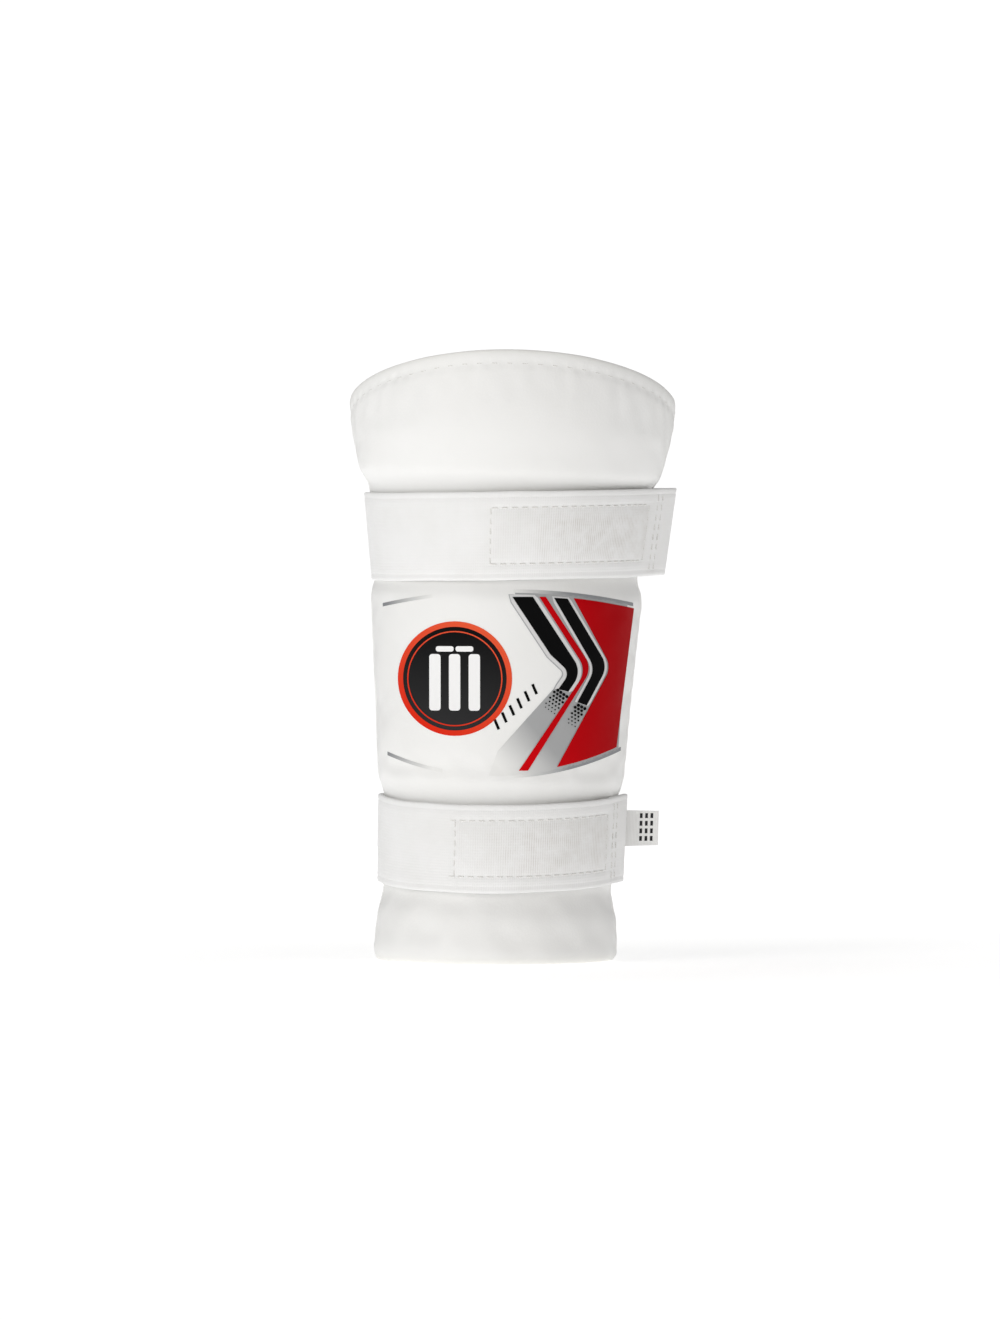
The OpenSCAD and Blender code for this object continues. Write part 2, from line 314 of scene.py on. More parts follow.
def addNode(material, kind, settings=None, links=None):
    nodes, wires = material.node_tree.nodes, material.node_tree.links
    node = nodes.new("ShaderNode" + kind)
    for name, value in (settings or {}).items():
        if isinstance(name, int) or name in node.inputs:
            node.inputs[name].default_value = value
        else:
            setattr(node, name, value)
    for name, source in (links or {}).items():
        wires.new(source, node.inputs[name])
    return node


def newMaterial(name, **finish):  # an empty Principled material with its constants set
    material = bpy.data.materials.new(name)
    material.use_nodes = True
    shader = material.node_tree.nodes["Principled BSDF"]
    for socket, value in finish.items():
        shader.inputs[socket.replace("_", " ")].default_value = value
    return material, shader


def wire(material, source, shader, socket):
    material.node_tree.links.new(source, shader.inputs[socket])


def shades(material, factor, *stops):  # colour stops as (place, hex)
    ramp = addNode(material, "ValToRGB", {}, {"Fac": factor})
    while len(ramp.color_ramp.elements) < len(stops):
        ramp.color_ramp.elements.new(0.5)
    for element, (place, code) in zip(ramp.color_ramp.elements, stops):
        element.position = place
        element.color = fromHex(code)
    return ramp.outputs["Color"]


def makeCoatedFabric():
    # Polyurethane-coated polyester, calendered on a fine grain roller: satin white, a soft broad
    # highlight, a faint pebble that only shows at a glance, greyer towards the foot, the top lip and the rear edges
    material, shader = newMaterial("polyurethane_coated_fabric", Roughness=0.46, IOR=1.5)
    place = addNode(material, "TexCoord").outputs["Object"]
    grain = addNode(material, "TexVoronoi", {"Scale": 1 / (1.1 * mm), "Randomness": 1.0},
                    {"Vector": place})
    soft = addNode(material, "TexNoise", {"Scale": 1 / (26 * mm), "Detail": 4.0}, {"Vector": place})
    edgeDarkening = addNode(material, "Attribute", {"attribute_name": "edgeDarkening"})
    mottleAndEdges = addNode(material, "Math", {"operation": "MULTIPLY_ADD", 1: 0.22},
                   {0: soft.outputs["Fac"], 2: edgeDarkening.outputs["Fac"]})
    tone = shades(material, mottleAndEdges.outputs[0], (0.0, "#fafaf9"), (0.2, "#f6f6f4"), (1.1, "#d8d5cd"))
    wire(material, tone, shader, "Base Color")
    rough = addNode(material, "MapRange", {"To Min": 0.4, "To Max": 0.56},
                    {"Value": soft.outputs["Fac"]})
    wire(material, rough.outputs[0], shader, "Roughness")
    fine = addNode(material, "Bump", {"Strength": 0.35, "Distance": 0.06 * mm},
                   {"Height": grain.outputs["Distance"]})
    wavy = addNode(material, "Bump", {"Strength": 0.35, "Distance": 0.9 * mm},
                   {"Height": soft.outputs["Fac"], "Normal": fine.outputs[0]})
    wire(material, wavy.outputs[0], shader, "Normal")
    return material


def makeTowelling():
    # Cotton terry: looped pile, matt, each loop a small bump with shade between
    material, shader = newMaterial("cotton_towelling", Roughness=0.95, Sheen_Weight=0.25,
                                   Sheen_Roughness=0.6)
    place = addNode(material, "TexCoord").outputs["Object"]
    loops = addNode(material, "TexVoronoi", {"Scale": 1 / (1.0 * mm)}, {"Vector": place})
    lint = addNode(material, "TexNoise", {"Scale": 1 / (9 * mm), "Detail": 5.0}, {"Vector": place})
    tone = shades(material, loops.outputs["Distance"], (0.0, "#f3f2ee"), (0.55, "#eae8e3"),
                  (1.0, "#d8d5ce"))
    wire(material, tone, shader, "Base Color")
    pile = addNode(material, "Bump", {"Strength": 0.7, "Distance": 0.35 * mm, "invert": True},
                   {"Height": loops.outputs["Distance"]})
    lay = addNode(material, "Bump", {"Strength": 0.4, "Distance": 0.8 * mm},
                  {"Height": lint.outputs["Fac"], "Normal": pile.outputs[0]})
    wire(material, lay.outputs[0], shader, "Normal")
    return material


def makeElastic():
    # Woven elastic: rubber cords lie along it under a polyester weave, so it shows fine ribs along
    # its length and a close cross weave; matt with a little sheen. UV is in mm along and across it
    material, shader = newMaterial("woven_elastic", Roughness=0.8, Sheen_Weight=0.15,
                                   Sheen_Roughness=0.5)
    place = addNode(material, "TexCoord").outputs["UV"]
    ribs = addNode(material, "TexWave", {"bands_direction": "Y", "Scale": 0.31416 / 1.15,
                                         "Distortion": 0.25, "Detail": 1.0}, {"Vector": place})
    weft = addNode(material, "TexWave", {"bands_direction": "X", "Scale": 0.31416 / 0.95,
                                         "Distortion": 0.6, "Detail": 2.0}, {"Vector": place})
    soft = addNode(material, "TexNoise", {"Scale": 0.06, "Detail": 3.0}, {"Vector": place})
    # the stitched hook patch is hatched in a greyer tone, which grows towards the tape's right end; that growth is
    # painted shade
    hatchAndShade = addNode(material, "Attribute", {"attribute_name": "quilted"})
    tone = shades(material, soft.outputs["Fac"], (0.3, "#fafafa"), (0.7, "#f5f5f4"))
    hatch = addNode(material, "Mix",
                    {"data_type": "RGBA", "blend_type": "MULTIPLY", 7: fromHex("#e5e2de")},
                    {6: tone})
    patchy = addNode(material, "TexNoise", {"Scale": 0.16, "Detail": 4.0, "Roughness": 0.65},
                     {"Vector": place})
    patches = addNode(material, "MapRange", {"From Min": 0.32, "From Max": 0.66},
                      {"Value": patchy.outputs["Fac"]})
    uneven = addNode(material, "Math", {"operation": "MULTIPLY"},
                     {0: patches.outputs[0], 1: weft.outputs["Fac"]})
    strength = addNode(material, "Math", {"operation": "MULTIPLY"},
                       {0: hatchAndShade.outputs["Fac"], 1: uneven.outputs[0]})
    material.node_tree.links.new(strength.outputs[0], hatch.inputs[0])
    wire(material, hatch.outputs[2], shader, "Base Color")
    ribbed = addNode(material, "Bump", {"Strength": 0.24, "Distance": 0.12 * mm},
                     {"Height": ribs.outputs["Fac"]})
    woven = addNode(material, "Bump", {"Strength": 0.28, "Distance": 0.1 * mm},
                    {"Height": weft.outputs["Fac"], "Normal": ribbed.outputs[0]})
    wire(material, woven.outputs[0], shader, "Normal")
    return material


def makeThread():
    # Bonded polyester sewing thread: two plies twisted, so a slanting ripple and a slight shine
    material, shader = newMaterial("polyester_thread", Roughness=0.55, Sheen_Weight=0.2)
    place = addNode(material, "TexCoord").outputs["Object"]
    ply = addNode(material, "TexWave", {"bands_direction": "DIAGONAL", "Scale": 0.31416 / (0.5 * mm)},
                  {"Vector": place})
    tone = shades(material, ply.outputs["Fac"], (0.0, "#dedcd8"), (1.0, "#f7f7f5"))
    wire(material, tone, shader, "Base Color")
    bump = addNode(material, "Bump", {"Strength": 0.6, "Distance": 0.08 * mm},
                   {"Height": ply.outputs["Fac"]})
    wire(material, bump.outputs[0], shader, "Normal")
    return material


def makeHookNylon():
    # Moulded nylon hook tape: waxy, slightly see-through off-white with small hard glints
    material, shader = newMaterial("nylon_hook_tape", Roughness=0.38, IOR=1.53,
                                   Subsurface_Weight=0.15, Subsurface_Scale=0.6 * mm)
    place = addNode(material, "TexCoord").outputs["Object"]
    mottle = addNode(material, "TexNoise", {"Scale": 1 / (3 * mm), "Detail": 3.0}, {"Vector": place})
    wire(material, shades(material, mottle.outputs["Fac"], (0.3, "#e2e2de"), (0.7, "#f0f0ed")),
         shader, "Base Color")
    bump = addNode(material, "Bump", {"Strength": 0.3, "Distance": 0.1 * mm},
                   {"Height": mottle.outputs["Fac"]})
    wire(material, bump.outputs[0], shader, "Normal")
    return material


def makeLoopPile():
    # Brushed nylon loop tape: a fuzzy low pile with soft sheen and brushed flecks
    material, shader = newMaterial("brushed_loop_pile", Roughness=0.9, Sheen_Weight=0.45,
                                   Sheen_Roughness=0.4)
    place = addNode(material, "TexCoord").outputs["Object"]
    fuzz = addNode(material, "TexNoise", {"Scale": 1 / (0.8 * mm), "Detail": 6.0,
                                          "Roughness": 0.7}, {"Vector": place})
    swirl = addNode(material, "TexNoise", {"Scale": 1 / (5 * mm), "Detail": 2.0,
                                           "Distortion": 1.5}, {"Vector": place})
    wire(material, shades(material, swirl.outputs["Fac"], (0.3, "#e4e3df"), (0.7, "#f4f3f0")),
         shader, "Base Color")
    bump = addNode(material, "Bump", {"Strength": 0.8, "Distance": 0.35 * mm},
                   {"Height": fuzz.outputs["Fac"]})
    wire(material, bump.outputs[0], shader, "Normal")
    return material


def makeSatin():
    # Woven polyester satin ribbon: floats lie along it and shine in a line across it
    material, shader = newMaterial("satin_label_tape", Roughness=0.35, Anisotropic=0.5,
                                   Sheen_Weight=0.1)
    place = addNode(material, "TexCoord").outputs["UV"]
    floats = addNode(material, "TexWave", {"bands_direction": "X", "Scale": 0.31416 / 0.6,
                                           "Distortion": 0.4}, {"Vector": place})
    wire(material, shades(material, floats.outputs["Fac"], (0.0, "#efefed"), (1.0, "#fbfbfa")),
         shader, "Base Color")
    bump = addNode(material, "Bump", {"Strength": 0.3, "Distance": 0.05 * mm},
                   {"Height": floats.outputs["Fac"]})
    wire(material, bump.outputs[0], shader, "Normal")
    return material


def makeTransfer(name, start, end, fromTone, toTone, roughness=0.46):
    # Heat-pressed polyurethane transfer film: even colour, a little glossier than the cover, and
    # its colour runs from one tone to the other between two places, given in mm
    material, shader = newMaterial(name, Roughness=roughness, Specular_IOR_Level=0.04)
    place = addNode(material, "TexCoord").outputs["Object"]
    line = Vector(end) - Vector(start)
    reach = line.length_squared * mm
    along = addNode(material, "VectorMath", {"operation": "DOT_PRODUCT", 1: tuple(line / reach)},
                    {0: place})
    offset = addNode(material, "Math", {"operation": "SUBTRACT", "use_clamp": True,
                                        1: Vector(start).dot(line) / line.length_squared},
                     {0: along.outputs["Value"]})
    wire(material, shades(material, offset.outputs[0], (0.0, fromTone), (1.0, toTone)),
         shader, "Base Color")
    pebble = addNode(material, "TexVoronoi", {"Scale": 1 / (1.1 * mm)}, {"Vector": place})
    speck = addNode(material, "TexNoise", {"Scale": 1 / (2.5 * mm), "Detail": 3.0}, {"Vector": place})
    bump = addNode(material, "Bump", {"Strength": 0.25, "Distance": 0.04 * mm},
                   {"Height": pebble.outputs["Distance"]})
    wire(material, bump.outputs[0], shader, "Normal")
    rough = addNode(material, "MapRange", {"To Min": roughness - 0.06, "To Max": roughness + 0.08},
                    {"Value": speck.outputs["Fac"]})
    wire(material, rough.outputs[0], shader, "Roughness")
    return material


coatedFabric = makeCoatedFabric()
towelling = makeTowelling()
wovenElastic = makeElastic()
sewingThread = makeThread()
hookNylon = makeHookNylon()
loopPile = makeLoopPile()
satinTape = makeSatin()
coverTone = "#f4f4f2"
silverFilm = makeTransfer("silver_transfer_film", (-3, 0, 82), (13, 0, 95), coverTone, "#aeafb0")
blackFilm = makeTransfer("black_transfer_film", (0, 0, 80), (0, 0, 150), "#060607", "#0a0a0b")
# the red darkens towards +X, where the pad turns from the light: painted shade over the print's red
redFilmWithPaintedShade = makeTransfer("red_transfer_film", (10, 0, 110), (46, 0, 112), "#d0000c", "#ac000a")
fieldFilm = makeTransfer("charcoal_transfer_film", (-22, 0, 94), (-22, 0, 140), "#323233", "#060607")
ringFilm = makeTransfer("orange_transfer_film", (-36, 0, 100), (-10, 0, 138), "#e22c16", "#ee5c3a")
whiteFilm = makeTransfer("white_transfer_film", (-40, 0, 90), (0, 0, 140), "#f8f8f8", "#fdfdfd")
keylineFilm = makeTransfer("pale_grey_transfer_film", (0, 0, 80), (40, 0, 150), "#e6e6e6", "#dcdcdc")
outlineFilm = makeTransfer("thin_grey_outline_film", (0, 0, 80), (40, 0, 150), "#b9babd", "#b0b1b4")
print("materials made")

# the pad's shape

padFrame = {"lean": math.radians(1.8), "axisX": -230 * math.tan(math.radians(1.8)), "axisY": 29.9}
padShape = {
    "columns": 40,  # quads round the front
    "layers": 4,  # quads across the wall
    "rows": 60,
    "height": 250.0,
    "archSlope": 0.333,
    "archRadius": 69.6,
    "rearEdge": 5.0,
    "lip": 3.2,  # thickness of the closed top lip
    "lipDepth": 24.0,  # how far down the wall thins towards it
    "stitchMargin": 5.5,  # closing row below the arch
    "swell": 1.9,  # most that the cover may puff out, mm
}
outerFace = [(-8, 49.8), (5, 51.0), (20, 49.9), (28, 47.6), (70, 48.3), (72.2, 51.0), (110, 53.6),
             (153, 56.9), (156, 53.9), (196.5, 58.6), (199.3, 62.4), (210, 65.0), (217, 66.7),
             (232, 68.8), (250, 69.8), (258, 70.2)]
innerFace = [(-8, 30.8), (150, 36.6), (258, 50.8)]


def padToWorld(x, y, z):
    lean = padFrame["lean"]
    return np.stack([padFrame["axisX"] + x * math.cos(lean) + z * math.sin(lean),
                     padFrame["axisY"] + y,
                     -x * math.sin(lean) + z * math.cos(lean)], -1)


def worldToPad(places):  # mm in, mm out
    lean = padFrame["lean"]
    x, y, z = places[..., 0] - padFrame["axisX"], places[..., 1] - padFrame["axisY"], places[..., 2]
    return (x * math.cos(lean) - z * math.sin(lean), y, x * math.sin(lean) + z * math.cos(lean))


def outerRadius(z):
    heights = np.arange(-8, 258.5, 0.5)
    radii = np.interp(heights, *zip(*outerFace))
    soft = np.convolve(np.pad(radii, 4, "edge"), np.ones(9) / 9, "valid")
    return np.interp(z, heights, soft)


def innerRadius(z):
    return np.interp(z, *zip(*innerFace))


def archHeight(x, y):  # height of the arched top, in the pad's own frame
    level = padShape["height"] - padShape["archSlope"] * (y + padShape["archRadius"])
    lean = padFrame["lean"]
    return (level + x * math.sin(lean)) / math.cos(lean)


def edgeAngle(radius):
    return np.arccos(padShape["rearEdge"] / radius)


def rowHeights(s, row, x, y):
    rows = padShape["rows"]
    nominal = row / rows * padShape["height"]
    foot = x * math.tan(padFrame["lean"])
    arch = archHeight(x, y)
    # distance in from the rear edges, along the cover
    inward = (1 - np.abs(s)) * 80
    footCorner = np.where(s < 0, 2.4, 2.0)
    archCorner = np.where(s < 0, 9.0, 4.5)
    foot = foot + footCorner - np.sqrt(footCorner ** 2 - np.clip(footCorner - inward, 0, None) ** 2)
    arch = arch - archCorner + np.sqrt(archCorner ** 2 - np.clip(archCorner - inward, 0, None) ** 2)
    low = foot + (26 - foot) * nominal / 26
    high = 200 + (nominal - 200) * (arch - 200) / 50
    return np.where(nominal < 26, low, np.where(nominal > 200, high, nominal)), arch


def padPlace(s, w, row):  # s across the front from -1 to 1, w from the cover to the lining, row up
    z = row / padShape["rows"] * padShape["height"]
    for _ in range(4):
        angle = s * edgeAngle(outerRadius(z))
        x, y = outerRadius(z) * np.sin(angle), -outerRadius(z) * np.cos(angle)
        z, arch = rowHeights(s, row, x, y)
    below = arch - z
    outer = outerRadius(z) - 0.2 * smoothStep(7, 3, below)
    thin = smoothStep(padShape["lipDepth"], 1.5, below)
    inner = innerRadius(z) * (1 - thin) + (outer - padShape["lip"]) * thin
    outerAngle, innerAngle = s * edgeAngle(outer), s * edgeAngle(inner)
    x = (1 - w) * outer * np.sin(outerAngle) + w * inner * np.sin(innerAngle)
    y = -(1 - w) * outer * np.cos(outerAngle) - w * inner * np.cos(innerAngle)
    return x, y, z, below


def buildPadBlock():
    # A flat grid is drawn up row by row into a block, then the block is bent round the arm
    deselectAll()
    bpy.ops.mesh.primitive_grid_add(x_subdivisions=padShape["columns"],
                                    y_subdivisions=padShape["layers"], size=2)
    body = bpy.context.object
    body.name = "padded_body"
    bpy.ops.object.mode_set(mode="EDIT")
    bpy.ops.mesh.select_all(action="SELECT")
    for _ in range(padShape["rows"]):
        bpy.ops.mesh.extrude_region_move(TRANSFORM_OT_translate={"value": (0, 0, 1)})
    bpy.ops.mesh.select_all(action="SELECT")
    bpy.ops.mesh.normals_make_consistent(inside=False)
    bpy.ops.object.mode_set(mode="OBJECT")
    return body


padBody = buildPadBlock()
block = points(padBody)
s, w, row = block[:, 0], (block[:, 1] + 1) / 2, np.round(block[:, 2])
x, y, z, below = padPlace(s, w, row)
restPlaces = padToWorld(x, y, z)
setPoints(padBody, restPlaces * mm)

# the lining side and the rest take different slots, so that the lining can be lifted off later
for material in (coatedFabric, towelling):
    padBody.data.materials.append(material)
for face in padBody.data.polygons:
    if all(w[i] > 0.99 for i in face.vertices):
        face.material_index = 1
print("pad block bent round the arm:", len(padBody.data.polygons), "quads")


def heldShare():  # 1 where seams, tapes and the base hold the cloth
    inBand = (smoothStep(25, 29, z) * smoothStep(73, 69.5, z)
              + smoothStep(152, 156, z) * smoothStep(201, 198, z))
    seam = dip(np.abs(s) - 0.955, 0.03)
    margin = padShape["stitchMargin"]
    closing = np.where(below < margin, 0.85, dip(below - margin, 13.0))
    ends = np.maximum(row == 0, row == padShape["rows"])
    rear = np.where((np.abs(s) > 0.99) & (w > 0.1), 0.8, 0)
    held = np.maximum.reduce([np.where(w < 0.5, inBand, 0), seam, closing, ends, rear])
    return np.clip(held, 0, 1)


def swellPad():
    held = heldShare()
    group = padBody.vertex_groups.new(name="held")
    for i, share in enumerate(held):
        group.add([i], float(share), "REPLACE")
    pick(padBody)
    modifier = padBody.modifiers.new("Cloth", "CLOTH")
    cloth = modifier.settings
    cloth.quality = 6
    cloth.vertex_group_mass = "held"
    cloth.use_pressure = True
    cloth.uniform_pressure_force = 4
    cloth.effector_weights.gravity = 0
    cloth.shrink_min = -0.006  # a little slack, so that it wrinkles where it is held
    modifier.point_cache.frame_start = 1
    modifier.point_cache.frame_end = 20
    for step in range(1, 21):
        scene.frame_set(step)
    bpy.ops.object.modifier_apply(modifier=modifier.name)
    scene.frame_set(1)
    padBody.vertex_groups.clear()
    return points(padBody) / mm


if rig.quick():
    direction = normals(padBody)
    swollen = restPlaces + direction * (padShape["swell"] * (1 - heldShare()))[:, None]
else:
    swollen = swellPad()
    print("pad swollen by the cloth simulation")
moved = swollen - restPlaces
reach = np.linalg.norm(moved, axis=1)
print("  the cloth moved up to", round(float(reach.max()), 2), "mm")
cap = np.where(w > 0.5, 0.5 * padShape["swell"], padShape["swell"])
moved *= (cap * np.tanh(reach / cap) / np.maximum(reach, 1e-6))[:, None]
places = restPlaces + moved
places[:, 2] = np.maximum(places[:, 2], 0)
setPoints(padBody, places * mm)
finishWith(padBody, "SUBSURF", levels=2, render_levels=2)


def detailPad():
    # Sewn detail on the fine mesh: closing stitches, side seams, puckers and a hand-made unevenness
    places = points(padBody) / mm
    direction = normals(padBody)
    x, y, z = worldToPad(places)
    radius = np.hypot(x, y)
    angle = np.arctan2(x, -y)
    along = angle * radius
    below = archHeight(x, y) - z
    isOuter = smoothStep(0.2, 0.6, (direction[:, 0] * x + direction[:, 1] * y) / radius)
    depth = np.zeros(len(places))
    # closing row: a pressed channel with a dimple for each stitch, some deeper than others
    uneven = ripple(np.stack([along, 0 * along, 0 * along], -1), 14, 3.1)
    wander = 0.5 * ripple(np.stack([along, 0 * along, 0 * along], -1), 23, 7.7)
    offRow = below - padShape["stitchMargin"] - wander
    stitch = np.cos(2 * math.pi * along / 6.2)
    depth += 0.14 * dip(offRow, 1.7)
    depth += (0.35 + 0.3 * uneven) * dip(offRow, 1.5) * smoothStep(0.1, 0.9, stitch)
    # short puckers that run down from the stitches
    depth += 0.16 * dip(offRow - 6, 5) * np.cos(2 * math.pi * along / 12.4 + 2.5 * uneven)
    # seams beside the rear edges
    seamLine = np.abs(y + 8.6)
    front = smoothStep(1, 0, np.abs(x) < 5)
    depth += 0.45 * dip(seamLine, 1.3) * front
    depth += 0.1 * dip(seamLine - 2.5, 2.5) * np.cos(2 * math.pi * z / 7.5) * front
    # puckers under the edges of the tapes
    fold = ripple(np.stack([along, z / 3, 0 * along], -1), 9, 1.3)
    for edge, side in ((26.5, -1), (72.5, 1), (153.5, -1), (200.5, 1)):
        near = dip((z - edge) * side - 5, 6)
        depth += 0.22 * near * fold
    depth = depth * isOuter
    lumps = ripple(places, 34, 5.2) * 0.28 + ripple(places, 13, 9.4) * 0.07
    strapped = (smoothStep(27, 30, z) * smoothStep(72, 69.5, z)
                + smoothStep(154, 157, z) * smoothStep(200, 197, z))
    based = smoothStep(3, 12, places[:, 2])
    moved = places + direction * ((lumps * based * (1 - 0.8 * strapped) - depth)[:, None])
    moved[:, 2] = np.maximum(moved[:, 2], 0)
    setPoints(padBody, moved * mm)
    # darker towards the foot, the top lip and the rear edges
    edgeDarkeningShare = np.maximum(smoothStep(5, 0, places[:, 2]), 0.6 * smoothStep(3, 0, below))
    edgeDarkeningShare = np.maximum(edgeDarkeningShare, 0.5 * smoothStep(4, 0, np.abs(y + 5)))
    setAttribute(padBody, "edgeDarkening", 0.35 * edgeDarkeningShare)


detailPad()
shadeSmooth(padBody, 50)
print("pad seams and stitch dimples worked in:", len(padBody.data.polygons), "quads")


def liftLining():
    # The lining side of the block is copied off as a sheet of towelling and given its thickness
    pick(padBody)
    bpy.ops.object.duplicate()
    sheet = bpy.context.object
    sheet.name = "towelling_lining"
    bpy.ops.object.mode_set(mode="EDIT")
    bpy.ops.mesh.select_all(action="DESELECT")
    bpy.ops.object.mode_set(mode="OBJECT")
    for face in sheet.data.polygons:
        face.select = face.material_index == 0
    bpy.ops.object.mode_set(mode="EDIT")
    bpy.ops.mesh.delete(type="FACE")
    bpy.ops.object.mode_set(mode="OBJECT")
    sheet.data.materials.clear()
    sheet.data.materials.append(towelling)
    for face in sheet.data.polygons:
        face.material_index = 0
    pile = points(sheet)
    flatArea = sum(face.area for face in sheet.data.polygons)
    setPoints(sheet, pile + normals(sheet) * (0.12 * mm * (1 + ripple(pile, 1.6 * mm, 2.2)))[:, None])
    finishWith(sheet, "SOLIDIFY", thickness=0.8 * mm, offset=1, use_rim=True)
    shadeSmooth(sheet, 60)
    for face in padBody.data.polygons:
        face.material_index = 0
    padBody.data.materials.pop(index=1)
    return sheet, flatArea


lining, liningArea = liftLining()
padSurface = BVHTree.FromPolygons([v.co for v in padBody.data.vertices],
                                  [p.vertices for p in padBody.data.polygons])
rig.padded(padBody, fill=0.85)
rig.ride(padBody, "pad")
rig.replaces(padBody, "front_cover", "shield_foam", "comfort_foam")
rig.slot(padBody, "coated_cover")
# the cut opens out from 89 mm at the foot to 158 mm under the arch, and is drawn over the block
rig.sheet(lining, flat=(0.158, 0.259), held="stretched", rests_on=["padded_body"], area=0.0275)
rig.ride(lining, "pad")
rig.replaces(lining, "back_lining")
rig.slot(lining, "towelling")
print("lining lifted off, area", round(liningArea * 1e4, 1), "cm2")

# thread: one stitch is modelled once and copied along each row

threadSetup = {"length": 3.0, "thickness": 0.62, "sides": 6}


def makeStitch():
    deselectAll()
    length, thickness = threadSetup["length"], threadSetup["thickness"]
    bpy.ops.mesh.primitive_cylinder_add(vertices=threadSetup["sides"], radius=thickness / 2,
                                        depth=length, rotation=(0, math.pi / 2, 0))
    stitch = bpy.context.object
    bpy.ops.object.transform_apply(location=True, rotation=True, scale=True)
    bpy.ops.object.mode_set(mode="EDIT")
    selectFaces(stitch, lambda centre, normal: abs(normal.x) > 0.9)
    bpy.ops.mesh.inset(thickness=thickness * 0.2)
    bpy.ops.object.mode_set(mode="OBJECT")
    shape = points(stitch)
    ends = np.abs(shape[:, 0]) > length / 2 - 0.01
    ring = np.hypot(shape[:, 1], shape[:, 2]) > thickness * 0.4
    shape[ends & ring, 0] *= 0.78  # rounds the ends over
    shape[:, 2] -= 0.5 * thickness * (np.abs(shape[:, 0]) / length * 2) ** 2
    shape[:, 2] *= 0.8
    faces = [list(face.vertices) for face in stitch.data.polygons]
    bpy.data.objects.remove(stitch)
    return shape, faces


stitchShape, stitchFaces = makeStitch()


def sewRow(name, centres, alongs, ups, size=1.0):
    # one mesh of stitches: each lies along its own direction with its crown upwards, in mm
    vertices, faces = [], []
    for centre, along, up in zip(centres, alongs, ups):
        along = Vector(along).normalized()
        side = Vector(up).cross(along).normalized()
        crown = along.cross(side)
        first = len(vertices)
        for px, py, pz in stitchShape:
            place = Vector(centre) + (along * px + side * py + crown * pz) * size
            vertices.append(place * mm)
        faces += [[first + i for i in face] for face in stitchFaces]
    row = meshPiece(name, vertices, faces, sewingThread)
    turnOutwards(row)
    shadeSmooth(row, 60)
    return row


# a tape swept along its route

def sweepTape(name, rings, lengths, material, quilted=None):
    # rings: for each step along the route, a closed line of points round the tape, in mm
    steps, round_ = rings.shape[0], rings.shape[1]
    deselectAll()
    bpy.ops.mesh.primitive_grid_add(x_subdivisions=steps - 1, y_subdivisions=round_, size=2)
    tape = bpy.context.object
    tape.name = name
    flat = points(tape)
    i = np.round((flat[:, 0] + 1) / 2 * (steps - 1)).astype(int)
    j = np.round((flat[:, 1] + 1) / 2 * round_).astype(int)
    setPoints(tape, rings[i, j % round_] * mm)
    if quilted is not None:
        setAttribute(tape, "quilted", quilted[i, j % round_])
    girth = np.concatenate([[0], np.cumsum(np.linalg.norm(
        np.diff(np.concatenate([rings[0], rings[0][:1]]), axis=0), axis=1))])
    layer = tape.data.uv_layers.active.data
    for loop in tape.data.loops:
        layer[loop.index].uv = (lengths[i[loop.vertex_index]], girth[j[loop.vertex_index]])
    bpy.ops.object.mode_set(mode="EDIT")
    bpy.ops.mesh.select_all(action="SELECT")
    bpy.ops.mesh.remove_doubles(threshold=1e-7)
    bpy.ops.mesh.fill_holes(sides=0)
    bpy.ops.mesh.normals_make_consistent(inside=False)
    bpy.ops.object.mode_set(mode="OBJECT")
    tape.data.materials.append(material)
    return tape


# straps

strapShape = {
    "width": 36.0,
    "thickness": 1.3,
    "selvage": 15.7,  # how far the selvage line lies from the middle
    "selvageDepth": 0.16,
    "quiltRow": 11.4,  # stitched rows of the hook patch, from the middle
    "hookWidth": 25.0,
    "loopWidth": 29.0,
    "tabLength": 20.0,
    "stitchPitch": 4.0,
    "boxFrom": 3.2,  # the cross rows of the hook patch, from the hinge and from the patch's end
    "boxTo": 1.6,
    "tabRows": (12.8, 9.4),  # upright rows that hold the folded end, back from its base
    "threadLift": 0.66,  # how high a stitch lies over the tape's middle
    "patchSteps": 70,
    "peelFrom": 7,  # the free end's bend runs from here to there, either side of the hinge
    "peelTo": 9,
}
straps = {
    "upper": {"band": (155, 53.8, 198, 58.8), "height": 174.8, "pitch": 1.4, "roll": 0.8,
              "hinge": -6.0, "hookEnd": 71.5, "tabTurn": 10.0, "tabShort": 0.0},
    "lower": {"band": (28, 47.6, 72, 48.4), "height": 47.8, "pitch": 4.3, "roll": 0.0,
              "hinge": -20.0, "hookEnd": 62.0, "tabTurn": -8.0, "tabShort": 1.0},
}


def arcLine(centre, radius, first, last, count):
    angles = np.radians(np.linspace(first, last, count))
    return np.stack([centre[0] + radius * np.cos(angles), centre[1] + radius * np.sin(angles)], -1)


def frontLine(radius, first, last, count, lift=0.0):  # angles from the front, towards +X
    angles = np.radians(np.linspace(first, last, count))
    return np.stack([radius * np.sin(angles), -radius * np.cos(angles) - lift], -1)


